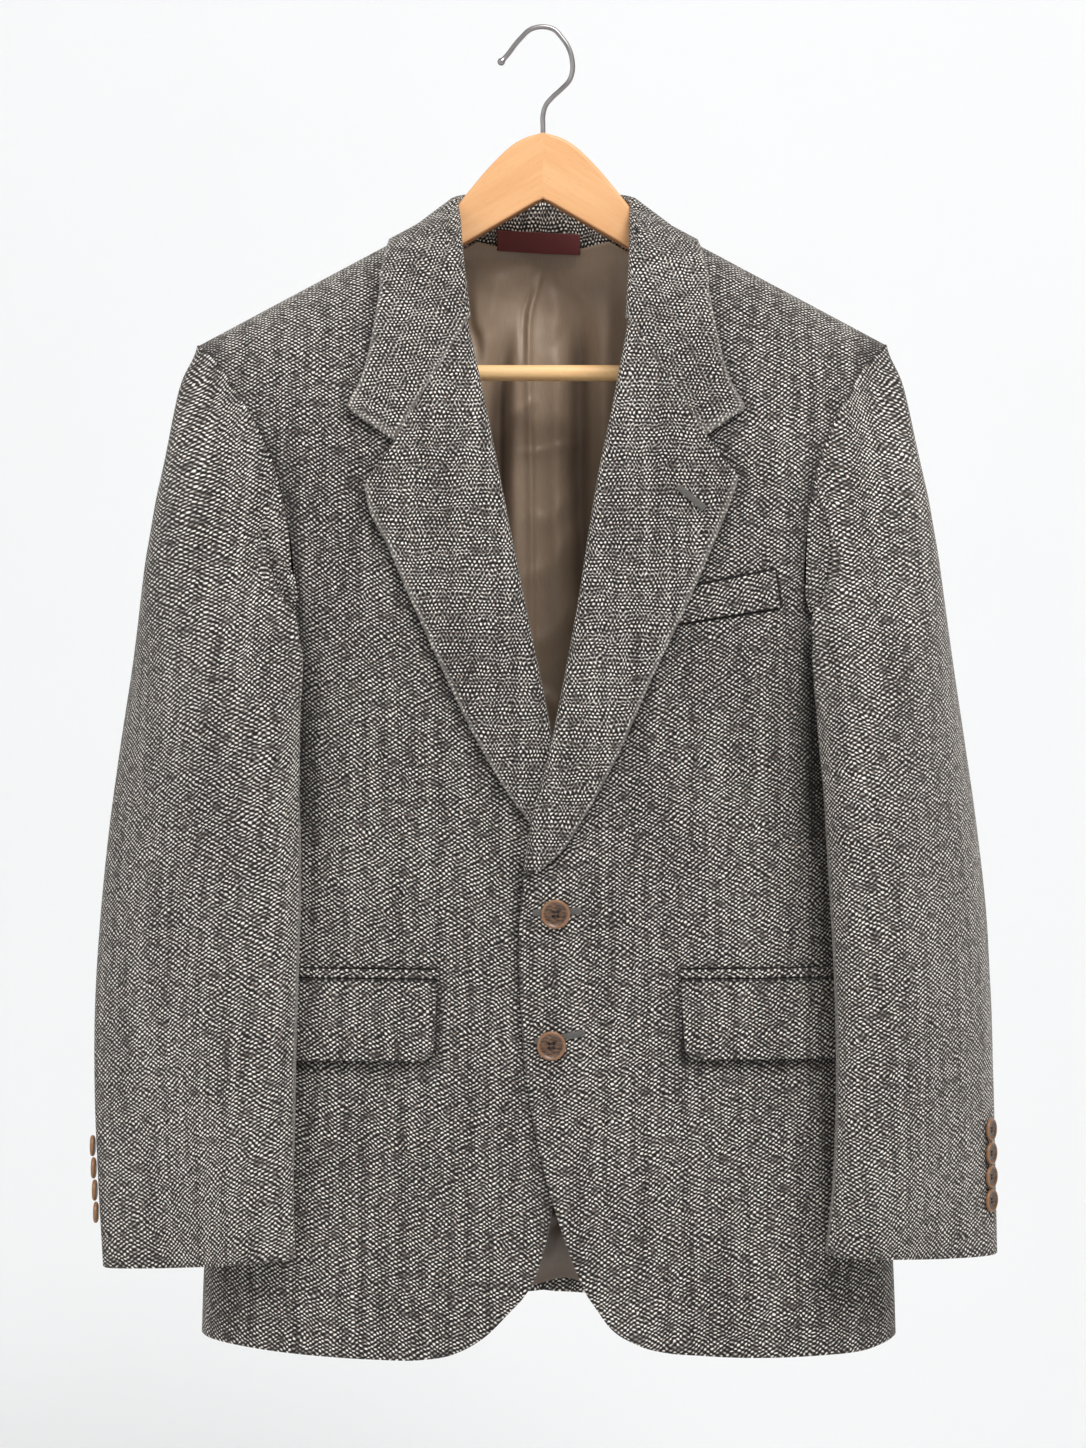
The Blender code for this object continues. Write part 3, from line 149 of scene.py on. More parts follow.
# Short soft creases of the fronts and backs: ridges where the depth is negative.
CREASES = np.array([
    # x, height, lean in degrees, half length, half width, depth inwards
    (-190, -470, -62, 46, 9, 1.5),
    (-178, -500, -58, 52, 8, 1.1),
    (-170, -545, -66, 60, 10, 1.0),
    (192, -462, 64, 44, 9, 1.4),
    (184, -492, 60, 50, 8, 1.2),
    (174, -540, 68, 58, 10, 0.9),
    (-84, -640, 82, 60, 12, 0.9),
    (92, -640, 98, 70, 13, 1.0),
    (-70, -800, 86, 74, 12, 1.1),
    (60, -800, 95, 70, 14, 1.0),
    (-140, -800, 80, 80, 14, 1.0),
    (150, -810, 100, 84, 14, 1.1),
])
CREASE_BEND = 0.0016


def smooth(rows, column, at):
    """Read a table's column at a value of its first one, along a smooth curve."""
    order = np.argsort(rows[:, 0])
    x = rows[order, 0].astype(float)
    y = rows[order, column].astype(float)
    slope = np.gradient(y, x)
    at = np.asarray(at, float)
    i = np.clip(np.searchsorted(x, at) - 1, 0, len(x) - 2)
    h = x[i + 1] - x[i]
    t = np.clip((at - x[i]) / h, 0.0, 1.0)
    h00 = (1 + 2 * t) * (1 - t) ** 2
    h10 = t * (1 - t) ** 2
    h01 = t * t * (3 - 2 * t)
    h11 = t * t * (t - 1)
    return h00 * y[i] + h10 * h * slope[i] + h01 * y[i + 1] + h11 * h * slope[i + 1]


def ramp(value, start, end):
    """0 before start, 1 after end, with soft ends."""
    t = np.clip((np.asarray(value, float) - start) / (end - start), 0.0, 1.0)
    return t * t * (3 - 2 * t)


def mix(a, b, t):
    return a + (b - a) * t


def sunk(z, heights):
    """0 above the first height and 1 below the second, with soft ends."""
    return ramp(-z, -heights[0], -heights[1])


def unit(vectors):
    """The same directions, each of length one."""
    return vectors / np.maximum(np.linalg.norm(vectors, axis=-1, keepdims=True), 1e-9)


def run_length(line):
    """How far each point of a line lies from its first one, along the line."""
    return np.concatenate([[0.0], np.cumsum(np.linalg.norm(np.diff(line, axis=0), axis=-1))])


def shoulder_height(x):
    """Top of the shoulder, a straight slope from the neck to the sleeve head."""
    slope = (SHOULDER_Z[1] - SHOULDER_Z[0]) / (SHOULDER_X[1] - SHOULDER_X[0])
    return SHOULDER_Z[0] + slope * (np.sqrt(np.asarray(x) ** 2 + RIDGE_EASE) - SHOULDER_X[0])


def hem_height(x, part, side):
    """Height of the hem, which the back takes over from the front at the side seam."""
    front = smooth(HEM[side], 1, x)
    if part == "front":
        return front
    wide = ramp(np.abs(x), 0, HEM_MEETS)
    return mix(HEM_BACK, np.where(wide < 0.5, HEM_BACK_SIDE, front), wide)


def row_height(x, row, part, side):
    """Height of a cross row: 0 at the shoulder seam, 1 below the arch, 2 at the hem."""
    top = shoulder_height(x)
    rise = np.sin(np.clip(row, -1.0, 1.0) * math.pi / 2)
    upper = top - ARCH_HEIGHT * (1 - np.cos(np.clip(row, -1.0, 1.0) * math.pi / 2))
    lower = mix(top - ARCH_HEIGHT, hem_height(x, part, side), np.clip(row - 1, 0.0, 1.2))
    return np.where(row < 1, upper, lower), np.where(row < 1, rise, 1.0)


def ring_fullness(s):
    """Share of the full depth at a share of the half width, on a rounded oblong ring."""
    return np.clip(1 - np.abs(s) ** RING_POWER, 0, 1) ** (1 / RING_POWER)


def fold_depth(x, z, folds):
    """Depth of the long soft folds, which start gently and run out at the hem."""
    total = np.zeros(np.broadcast(x, z).shape)
    for fold_x, top, bottom, lean, width, depth in folds:
        along = (top - z) / (top - bottom)
        centre = fold_x + lean * (along - 0.5) + FOLD_SWAY[0] * np.sin(along * FOLD_SWAY[1] + fold_x)
        strength = ramp(along, 0.0, 0.35) * (1 - 0.35 * ramp(along, 0.7, 1.0))
        total = total + depth * strength * np.exp(-((x - centre) / width) ** 2)
    return total


def crease_depth(a, b, creases):
    """Depth of short creases, each a line with its own lean, length and width."""
    total = np.zeros(np.broadcast(a, b).shape)
    for at_a, at_b, lean, length, width, depth in creases:
        turn = math.radians(lean)
        along = (a - at_a) * math.cos(turn) + (b - at_b) * math.sin(turn)
        across = (b - at_b) * math.cos(turn) - (a - at_a) * math.sin(turn)
        bend = across + CREASE_BEND * along ** 2
        total = total + depth * np.exp(-(bend / width) ** 2 - (along / length) ** 4)
    return total


# The pressed lines along both edges of each jet and round the chest welt, from x and
# height to x and height, with the depth and half width of the dent that they press.
# The fronts' tweed also paints shade along these lines.
SEWN_LINES = (
    ((94.0, -650.8), (186.0, -650.8)), ((-72.0, -650.8), (-190.0, -650.8)),
    ((94.0, -657.2), (186.0, -657.2)), ((-72.0, -657.2), (-190.0, -657.2)),
    ((92.0, -392.2), (157.8, -378.6)), ((90.0, -416.6), (161.2, -405.4)),
    ((158.8, -380.0), (162.4, -404.5)),
)
SEWN_DENT = (1.5, 1.3)
# Heights beside those lines where the fronts' rows lie close enough to show the dents.
SEWN_LEVELS = (-649.0, -650.8, -652.6, -656.9, -392.0, -385.0, -379.0, -405.0, -411.0, -417.0)
SEWN_LEVEL_STEPS = np.linspace(-3.5, 3.5, 9)


def sewn_depth(x, z):
    """The narrow dents along the sewn lines of the pockets."""
    total = np.zeros(np.broadcast(x, z).shape)
    for (ax, az), (bx, bz) in SEWN_LINES:
        way = math.hypot(bx - ax, bz - az)
        cx, cz = (bx - ax) / way, (bz - az) / way
        along = (x - ax) * cx + (z - az) * cz
        across = (z - az) * cx - (x - ax) * cz
        within = ramp(along, -3.0, 2.0) * (1 - ramp(along, way - 2.0, way + 3.0))
        total = total + SEWN_DENT[0] * within * np.exp(-(across / SEWN_DENT[1]) ** 2)
    return total


def lap_lift(x, z):
    """How far the left front stands out where it laps over the right one."""
    lapel = LAPEL_LIFT * np.exp(-((z - LAPEL_LIFT_Z) / LAPEL_LIFT_SPAN) ** 2)
    return (LAP_LIFT + lapel) * (1 - ramp(x, LAP_TO, LAP_FROM))


def depth_at(x, z, s, rise, part, side, out):
    """Depth of the trunk's front or back face, with its folds, dents and lap."""
    if part == "back":
        return (smooth(TRUNK, 4, z) + out) * ring_fullness(s) * rise - fold_depth(x, z, BACK_FOLDS)
    depth = (smooth(TRUNK, 3, z) + out) * ring_fullness(s) * rise
    depth = depth - (fold_depth(x, z, FOLDS) + crease_depth(x, z, CREASES)) * ring_fullness(s)
    depth = depth - sewn_depth(x, z) * (out == 0)
    if side > 0:
        depth = depth + lap_lift(x, z) * rise
    return depth


def trunk_point(side, angle, row, part, out=0.0):
    """A point of the trunk's outer face by ring angle (0 front, 180 back) and row."""
    angle, row = np.broadcast_arrays(np.asarray(angle, float), np.asarray(row, float))
    s = np.sin(angle)
    x = side * FIRST_GUESS * s
    for _ in range(5):
        z, rise = row_height(x, row, part, side)
        x = smooth(TRUNK, 2, z) + side * (smooth(TRUNK, 1, z) + out) * s
    front = depth_at(x, z, s, rise, "front", side, out)
    back = depth_at(x, z, s, rise, "back", side, out)
    y = np.where(np.abs(angle) < math.pi / 2, -front, back)
    return np.stack([x, y, z + out * (1 - rise)], -1)


def surface_y(x, z, part="front", side=1, out=0.0):
    """The trunk's outer face as a height field over x and z."""
    x, z = np.broadcast_arrays(np.asarray(x, float), np.asarray(z, float))
    s = (x - smooth(TRUNK, 2, z)) / (smooth(TRUNK, 1, z) + out)
    fallen = (shoulder_height(x) + out - z) / ARCH_HEIGHT
    rise = np.sqrt(np.clip(1 - (1 - np.clip(fallen, 0, 1)) ** 2, 0, 1))
    depth = depth_at(x, z, s, rise, part, side, out)
    return depth if part == "back" else -depth


def ring_angle(x, z, side, part):
    """Ring angle of a place on the trunk, the other way round from trunk_point."""
    s = np.clip(side * (x - smooth(TRUNK, 2, z)) / smooth(TRUNK, 1, z), -0.9999, 0.9999)
    return math.pi - np.arcsin(s) if part == "back" else np.arcsin(s)


def edge_angle(row, side, part):
    """Ring angle where a row meets the upright part of the armhole's edge."""
    column = 2 if part == "back" else 1
    angle = np.full(np.shape(row), math.radians(70 if part == "front" else 110))
    for _ in range(12):
        z = trunk_point(side, angle, row, part)[..., 2]
        x = smooth(TRUNK, 2, z) + side * smooth(ARMHOLE, column, z)
        angle = ring_angle(x, z, side, part)
    return angle


def outer_angle(row, side, part):
    """Ring angle of a panel's outer boundary: the armhole, then the side seam."""
    row = np.asarray(row, float)
    turn = np.clip((row - ROW_TURN) / (ROW_UNDERARM - ROW_TURN), 0, 1)
    start = edge_angle(np.minimum(row, ROW_UNDERARM), side, part)
    return mix(start, SIDE_SEAM, 1 - np.sqrt(1 - turn ** 2))


def roll_share(z):
    """1 where the lapel is rolled back and 0 on the straight edge below it."""
    return 1 - sunk(z, ROLL_ENDS)


def inner_angle(row, side, part):
    """Ring angle of a panel's inner boundary: the back's neck and seam, a front's edge."""
    if part == "back":
        along = np.clip(row / BACK_NECK_END, 0, 1)
        x = side * SHOULDER_X[0] * np.sqrt(1 - along ** 2)
        z = row_height(x, row, part, side)[0]
        return ring_angle(x, z, side, part)
    x = np.full(np.shape(row), EDGE[side][4, 1])
    for _ in range(8):
        z = row_height(x, row, part, side)[0]
        x = smooth(EDGE[side], 1, z) + side * ROLL * roll_share(z)
    return ring_angle(x, z, side, part)


def spaced_rows(breaks):
    """Row values from a list of (start, end, steps)."""
    rows = [breaks[0][0]]
    for start, end, steps in breaks:
        rows += [mix(start, end, (k + 1) / steps) for k in range(steps)]
    return np.array(rows)


def panel_rows(levels=()):
    """Cross rows from the shoulder to the hem, close under the armhole and near the levels."""
    turn = np.sin(np.linspace(0, math.pi / 2, 15))[1:]
    rows = np.concatenate([
        spaced_rows([(0.0, 0.3, 10), (0.3, 1.0, 26), (1.0, ROW_TURN, 8)]),
        mix(ROW_TURN, ROW_UNDERARM, turn),
        spaced_rows([(ROW_UNDERARM, 1.85, 64), (1.85, 2.0, 18)])[1:],
    ])
    heights = row_height(120.0, rows, "front", 1)[0]
    extra = [np.interp(-(level + step), -heights, rows) for level in levels for step in SEWN_LEVEL_STEPS]
    return np.unique(np.concatenate([rows, extra]))


def trunk_panel(side, part, rows, columns):
    """Ring angle and row of each point of a front or back, closer near a front's edge."""
    rows = rows.copy()
    rows[0] = FIRST_ROW
    u = np.linspace(0, 1, columns + 1) ** COLUMN_SPREAD[part]
    inner = inner_angle(rows, side, part)
    outer = outer_angle(rows, side, part)
    edge = SEAM_GAP / 2 / TRUNK_RADIUS
    turn = 1 if part == "front" else -1
    first = inner + turn * edge
    last = outer - turn * edge * 1.6
    angle = mix(first[:, None], last[:, None], u[None, :])
    row = np.broadcast_to(rows[:, None], angle.shape)
    return angle, row


def grid_normals(grid):
    """Direction that a grid of points faces at each one."""
    du = np.gradient(grid, axis=1)
    dv = np.gradient(grid, axis=0)
    return unit(np.cross(du, dv))


def cut_places(grid, row=None):
    """Each point's place in the flat cut: across its row and up along the warp, in mm."""
    across = np.linalg.norm(np.diff(grid[..., :2], axis=1), axis=-1)
    across = np.concatenate([np.zeros((len(grid), 1)), np.cumsum(across, axis=1)], axis=1)
    turn = 1.0 if np.mean(grid[:, -1, 0] - grid[:, 0, 0]) > 0 else -1.0
    u = grid[:, :1, 0] * turn + across
    v = grid[..., 2]
    if row is not None:
        turns = np.linspace(0, math.pi / 2, 200)
        arc = np.hypot(ARCH_HEIGHT * np.sin(turns), ARCH_DEPTH * np.cos(turns)) * (turns[1] - turns[0])
        left = arc.sum() - np.cumsum(arc)
        over = shoulder_height(grid[..., 0]) - ARCH_HEIGHT + np.interp(row * math.pi / 2, turns, left)
        v = np.where(row < 1, over, v)
    return np.stack([u, v], -1)


def placed(name, data):
    """An object of the scene that shows a mesh, lamp or camera."""
    item = bpy.data.objects.new(name, data)
    bpy.context.scene.collection.objects.link(item)
    return item


def solid(name, points, faces, places):
    """A smooth mesh from points in mm, with their places in the flat cut or along the grain."""
    mesh = bpy.data.meshes.new(name)
    mesh.from_pydata((np.asarray(points, float) * MM).tolist(), [], faces)
    layer = mesh.uv_layers.new(name="cloth")
    layer.data.foreach_set("uv", (np.asarray(places, float) * MM)[np.concatenate(faces)].ravel())
    mesh.shade_smooth()
    return placed(name, mesh)


def edge_loop(grid):
    """The values round a grid's edge, from its first corner."""
    return np.concatenate([grid[0, :-1], grid[:-1, -1], grid[-1, :0:-1], grid[:0:-1, 0]])


def shell(name, outer, inner, places):
    """A closed sheet of cloth between two grids of points, its rim rounded."""
    rows, columns = outer.shape[:2]
    count = rows * columns
    index = np.arange(count).reshape(rows, columns)
    loop = edge_loop(index)
    within = np.concatenate([index[1, :-1], index[:-1, -2], index[-2, :0:-1], index[:0:-1, 1]])
    flat_outer = outer.reshape(-1, 3)
    flat_inner = inner.reshape(-1, 3)
    away = unit(flat_outer[loop] - flat_outer[within])
    wall = np.linalg.norm(flat_outer[loop] - flat_inner[loop], axis=-1, keepdims=True)
    middle = (flat_outer[loop] + flat_inner[loop]) / 2 + away * wall * RIM_BULGE
    points = np.concatenate([flat_outer, flat_inner, middle])
    a, b = index[:-1, :-1].ravel(), index[:-1, 1:].ravel()
    c, d = index[1:, 1:].ravel(), index[1:, :-1].ravel()
    after = np.roll(loop, -1)
    edge = np.arange(len(loop)) + 2 * count
    edge_after = np.roll(edge, -1)
    faces = np.concatenate([
        np.stack([a, b, c, d], -1),
        np.stack([d, c, b, a], -1) + count,
        np.stack([after, loop, edge, edge_after], -1),
        np.stack([edge_after, edge, loop + count, after + count], -1),
    ])
    spots = points[faces]
    volume = np.einsum("ij,ij->i", spots[:, 0], np.cross(spots[:, 1], spots[:, 2])).sum()
    volume += np.einsum("ij,ij->i", spots[:, 0], np.cross(spots[:, 2], spots[:, 3])).sum()
    if volume < 0:
        faces = faces[:, ::-1]
    flat = places.reshape(-1, 2)
    return solid(name, points, faces.tolist(), np.concatenate([flat, flat, flat[loop]]))


def add_node(tree, kind, settings, values):
    """One node of a tree: its settings, then its values and links by input name or number."""
    node = tree.nodes.new(kind)
    for key, value in settings.items():
        setattr(node, key, value)
    for key, value in values.items():
        value = getattr(value, "socket", value)
        if isinstance(value, bpy.types.NodeSocket):
            tree.links.new(value, node.inputs[key])
        else:
            node.inputs[key].default_value = value
    return node


class Value:
    """A shader socket that takes part in sums; each sign adds a Math node."""

    def __init__(self, shader, socket):
        self.shader = shader
        self.socket = socket

    def __add__(self, other):
        return self.shader.math("ADD", self, other)

    def __sub__(self, other):
        return self.shader.math("SUBTRACT", self, other)

    def __mul__(self, other):
        return self.shader.math("MULTIPLY", self, other)

    def __truediv__(self, other):
        return self.shader.math("DIVIDE", self, other)

    def __rsub__(self, other):
        return self.shader.math("SUBTRACT", other, self)

    def __rtruediv__(self, other):
        return self.shader.math("DIVIDE", other, self)

    __radd__ = __add__
    __rmul__ = __mul__


class Shader:
    """A material's node tree, with one Principled surface."""

    def __init__(self, name, constants):
        self.material = bpy.data.materials.new(name)
        self.material.use_nodes = True
        self.tree = self.material.node_tree
        self.surface = self.tree.nodes["Principled BSDF"]
        for key, value in constants.items():
            self.surface.inputs[key].default_value = value

    def node(self, kind, settings, values, output=0):
        return Value(self, add_node(self.tree, kind, settings, values).outputs[output])

    def math(self, operation, *values):
        return self.node("ShaderNodeMath", {"operation": operation}, dict(enumerate(values)))

    def vector(self, operation, *values):
        return self.node("ShaderNodeVectorMath", {"operation": operation}, dict(enumerate(values)))

    def step(self, value, start, end):
        """0 before start and 1 after end, with soft ends."""
        return self.node("ShaderNodeMapRange", {"interpolation_type": "SMOOTHSTEP"},
                         {"Value": value, "From Min": start, "From Max": end})

    def blend(self, share, first, second):
        """A mix of two colours."""
        return self.node("ShaderNodeMix", {"data_type": "RGBA"}, {0: share, 6: first, 7: second}, 2)

    def place(self):
        """The point's place in the flat cut, in metres."""
        return self.node("ShaderNodeUVMap", {"uv_map": "cloth"}, {})

    def stored(self, name):
        """A value that is stored at each point of the mesh."""
        return self.node("ShaderNodeAttribute", {"attribute_name": name}, {}, "Fac")

    def split(self, value):
        return [self.node("ShaderNodeSeparateXYZ", {}, {0: value}, axis) for axis in "XYZ"]

    def join(self, x, y, z=0.0):
        return self.node("ShaderNodeCombineXYZ", {}, {0: x, 1: y, 2: z})

    def noise(self, place, scale, detail=2.0, rough=0.5, output="Fac"):
        return self.node("ShaderNodeTexNoise", {"noise_dimensions": "2D"},
                         {"Vector": place, "Scale": scale, "Detail": detail, "Roughness": rough},
                         output)

    def stretched(self, place, along, scale, detail, rough=0.5):
        """Noise that is drawn out along the warp or the grain."""
        return self.noise(self.vector("MULTIPLY", place, (1.0, along, 1.0)), scale, detail, rough)

    def finish(self, height=None, distance=0.0003, strength=1.0, **inputs):
        """Links varying inputs and the bump to the surface and hands the material back."""
        for key, value in inputs.items():
            self.tree.links.new(value.socket, self.surface.inputs[key.replace("_", " ")])
        if height is not None:
            bump = self.node("ShaderNodeBump", {},
                             {"Height": height, "Distance": distance, "Strength": strength}, "Normal")
            self.tree.links.new(bump.socket, self.surface.inputs["Normal"])
        return self.material


def rgb(red, green, blue):
    """A linear colour from one given as 0 to 255."""
    out = []
    for c in (red / 255, green / 255, blue / 255):
        out.append(c / 12.92 if c <= 0.04045 else ((c + 0.055) / 1.055) ** 2.4)
    return (*out, 1.0)


# Dots of the weave: direction in degrees and spacing in mm of each wave that makes them.
BIRDSEYE = ((-120.0, 2.72), (-52.0, 2.45))
ROWS = ((90.0, 2.62), (32.0, 2.35), (-32.0, 2.35))
CHARCOAL = rgb(24, 22, 23)
GREY = rgb(98, 93, 89)
IVORY = rgb(248, 243, 234)
TINT = rgb(160, 132, 112)
# Colour of the painted highlight on the rolled edges of the lapels and collar.
RIM_HIGHLIGHT = rgb(186, 180, 172)
# How the threads waver: scale, detail, roughness and reach in metres.
WAVER = ((46.0, 2.0, 0.6, 0.0052), (210.0, 1.0, 0.5, 0.0014))
# Nap, thread streaks and clouds: stretch, scale, detail, roughness and strength.
NAP = ((0.55, 2600.0, 3.0, 0.65, 0.55), (0.035, 150.0, 2.0, 0.55, 0.42), (1.0, 11.0, 2.0, 0.5, 0.22))
NAP_RELIEF = 0.6
DOT_DEEP = (-0.62, 0.16)
DOT_IVORY = (-0.06, 0.72)
DOT_STRENGTH = 1.3
FLECK = (0.66, 0.78, 0.3)
# Half widths and share of the painted shade lines along seams and pocket edges.
SHADE_LINE_WIDTH = (0.0006, 0.0017)
SHADE_LINE_SHARE = 0.92


def tweed(name, waves, tone, contrast=1.0, shade_lines=()):
    """Birdseye tweed: ivory dots on charcoal that waver and run together, with nap."""
    shader = Shader(name, {"Roughness": 0.94, "Sheen Weight": 0.22, "Sheen Roughness": 0.55,
                           "Sheen Tint": rgb(214, 208, 200), "Specular IOR Level": 0.18})
    place = shader.place()
    moved = place
    for scale, detail, rough, reach in WAVER:
        drift = shader.vector("SUBTRACT", shader.noise(place, scale, detail, rough, "Color"), (0.5,) * 3)
        moved = shader.vector("ADD", moved, shader.vector("MULTIPLY", drift, (reach,) * 3))
    u, v, _ = shader.split(moved)
    total = 0.0
    for number, (direction, spacing) in enumerate(waves):
        turn = math.radians(direction)
        count = 2 * math.pi / (spacing * MM)
        phase = u * (math.cos(turn) * count) + v * (math.sin(turn) * count)
        spot = shader.vector("ADD", place, (0.37 * number + 0.11, 0.53, 0.0))
        swell = shader.step(shader.noise(spot, 150.0, 1.0), 0.25, 0.7)
        total = total + shader.math("COSINE", phase) * (swell * 0.7 + 0.3)
    total = total * (DOT_STRENGTH / len(waves))
    layers = [shader.stretched(place, *layer[:4]) for layer in NAP]
    level = total * contrast
    for layer, (*_, strength) in zip(layers, NAP):
        level = level + (layer - 0.5) * strength
    level = level + tone
    deep = shader.blend(shader.step(level, *DOT_DEEP), CHARCOAL, GREY)
    colour = shader.blend(shader.step(level, *DOT_IVORY), deep, IVORY)
    fleck = shader.noise(shader.vector("ADD", place, (0.9, 0.3, 0.0)), 420.0, 1.0)
    colour = shader.blend(shader.step(fleck, *FLECK[:2]) * FLECK[2], colour, TINT)
    x, _, z = shader.split(shader.node("ShaderNodeTexCoord", {}, {}, "Object"))
    # Painted shade: a dark line along each given line, where its seam or pocket edge casts shade.
    for (ax, az), (bx, bz) in shade_lines:
        way = math.hypot(bx - ax, bz - az)
        cx, cz = (bx - ax) / way, (bz - az) / way
        along = (x - ax * MM) * cx + (z - az * MM) * cz
        across = shader.math("ABSOLUTE", (z - az * MM) * cx - (x - ax * MM) * cz)
        past = shader.math("ABSOLUTE", along - way * MM / 2) - way * MM / 2
        line = (1 - shader.step(across, *SHADE_LINE_WIDTH)) * (1 - shader.step(past, -MM, MM))
        colour = shader.blend(line * SHADE_LINE_SHARE, colour, CHARCOAL)
    # Painted shade, stored at each point: darker where an edge stands over the cloth.
    colour = shader.blend(shader.stored("painted_shade"), colour, CHARCOAL)
    # Painted highlight along the rolled edges of the lapels and collar.
    colour = shader.blend(shader.stored("painted_highlight"), colour, RIM_HIGHLIGHT)
    return shader.finish(total * 0.5 + layers[0] * NAP_RELIEF, 0.00035, 0.7, Base_Color=colour)


def cut_size(grid):
    """Width, length and area of a sheet's flat cut, in metres, from its outer grid."""
    width = np.linalg.norm(np.diff(grid, axis=1), axis=-1).sum(axis=1).max() * MM
    length = np.linalg.norm(np.diff(grid, axis=0), axis=-1).sum(axis=0).max() * MM
    cross = np.cross(grid[1:, 1:] - grid[:-1, :-1], grid[1:, :-1] - grid[:-1, 1:])
    area = float(np.linalg.norm(cross, axis=-1).sum() / 2) * MM * MM
    return (float(width), float(length)), min(area, width * length)


def dress(piece, made_of, grid=None, node=None):
    """Gives a piece its material, hangs it from the root and hides the CAD nodes it stands for; a sheet's cut
    size is worked out but not kept.
    """
    if made_of:
        piece.data.materials.append(made_of)
    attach(piece, "root")
    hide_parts(*(node if isinstance(node, tuple) else (node or piece.name.replace("cloth_", ""),)))
    if grid is not None:
        flat, area = cut_size(grid)


def line_distance(x, z, points):
    """Distance of each place from a drawn line of x and height."""
    near = np.full(np.shape(x), 1e9)
    for (ax, az), (bx, bz) in zip(points, points[1:]):
        way = (bx - ax) ** 2 + (bz - az) ** 2
        t = np.clip(((x - ax) * (bx - ax) + (z - az) * (bz - az)) / way, 0, 1)
        near = np.minimum(near, np.hypot(x - ax - t * (bx - ax), z - az - t * (bz - az)))
    return near


def mark(piece, name, values):
    """Stores a value at each point of a sheet's outer face, on its inner one and its rim."""
    layer = piece.data.attributes.new(name, "FLOAT", "POINT")
    layer.data.foreach_set("value", np.concatenate([values.ravel(), values.ravel(), edge_loop(values)]))


# Edges that stand over each front, as x and height from point to point: collar and lapel,
# sleeve, flap and the other front.  Beside them shade is painted into the cloth: it darkens
# it by the share and over the mm given just after the table.
SHADE_CASTING_EDGES = {1: (
    ((112, -180), (117, -215), (124, -246), (136, -268), (110, -288), (132, -317), (126, -333),
     (115, -360), (99.6, -397), (74.5, -449), (46.7, -511), (27, -546), (6, -575)),
    ((233, -217), (215, -255), (203, -280), (196, -288), (187, -309), (182, -327), (179.5, -348),
     (178, -369), (179, -400), (182, -425), (183, -447), (184, -560)),
    ((94.5, -660), (94.5, -711), (190, -711)),
), -1: (
    ((-108, -180), (-114, -215), (-122, -246), (-133, -268), (-100.5, -291.5), (-120.7, -322),
     (-116.5, -340), (-106, -360), (-93, -390), (-69.9, -441), (-42.7, -497), (-21.7, -532),
     (-4, -556)),
    ((-239, -219), (-222, -245), (-204, -271), (-190, -291), (-180, -309), (-175, -328),
     (-171.4, -345), (-168, -369), (-166, -404), (-164.6, -427), (-164, -447), (-162.5, -556)),
    ((-73, -660), (-73, -712), (-190, -712)),
    ((-13.4, -580), (-13, -640), (-11, -680), (-5, -740), (1, -790), (4, -819)),
)}
FRONT_PAINTED_SHADE = (0.72, 5.0)
# A painted shade line down the centre back seam.
CENTRE_SEAM = (((0.0, -120.0), (0.0, -925.0)),)
# The right pieces are cut from another stretch of the cloth, so no dot is mirrored.
CUT_FROM = {1: (0.0, 0.0), -1: (613.0, 271.0)}
SIDES = ((1, "left"), (-1, "right"))

# Painted shade lines: down the centre back seam on the body, and along the jets and round the welt on the
# fronts.
body_tweed = tweed("tweed of the body", BIRDSEYE, -0.25, 1.0, CENTRE_SEAM)
front_tweed = tweed("tweed of the fronts", BIRDSEYE, -0.25, 1.0, SEWN_LINES)
for side, name in SIDES:
    for part, columns in PANEL_COLUMNS:
        is_front = part == "front"
        angle, row = trunk_panel(side, part, panel_rows(SEWN_LEVELS if is_front else ()), columns)
        outer = trunk_point(side, angle, row, part)
        inner = trunk_point(side, angle, row, part, out=-TWEED)
        piece = shell(f"cloth_{part}_{name}", outer, inner, cut_places(outer, row) + CUT_FROM[side])
        if is_front:
            x, _, z = np.moveaxis(outer, -1, 0)
            # Painted shade on the front, fading with the distance from the edges over it.
            away = np.min([line_distance(x, z, line) for line in SHADE_CASTING_EDGES[side]], axis=0)
            mark(piece, "painted_shade", FRONT_PAINTED_SHADE[0] * np.exp(-away / FRONT_PAINTED_SHADE[1]))
        dress(piece, front_tweed if is_front else body_tweed, outer)

# -------------------- lapels
# Each lapel is the front's facing, rolled back from the neck to the top button.  Its
# edge is turned and pressed, and the cloth is rolled, not creased, along the fold.

LIFT_OFF = 0.7
LAPEL = {1: np.array([
    # height, x
    (-317, 132.0), (-333, 126.5), (-360, 115.5), (-397, 99.6), (-449, 74.5), (-511, 46.7),
    (-546, 27.0), (-575, 6.1), (-583, -4.0),
]), -1: np.array([
    # height, x
    (-322, -120.7), (-340, -116.5), (-360, -106.0), (-390, -93.0), (-441, -69.9),
    (-497, -42.7), (-532, -21.7), (-556, -4.0), (-574, 9.0),
])}
NOTCH = {1: (110.0, -288.0), -1: (-100.5, -291.5)}
NOTCH_GAP = 0.4
GORGE = {1: (58.5, -208.0), -1: (-51.0, -211.0)}
LAPEL_BELLY = 2.6
LAPEL_ROLL = (1.6, 4.0)
# Share of the painted highlight on the rolled edges.
EDGE_HIGHLIGHT_SHARE = 0.27
EDGE_LIFT = 4.6
WELT_THICKNESS = 1.2


def notch_weight(u, bend):
    """1 at the column of the notch, falling to 0 at both ends of its line."""
    return np.where(u < u[bend], u / u[bend], (1 - u) / (1 - u[bend]))


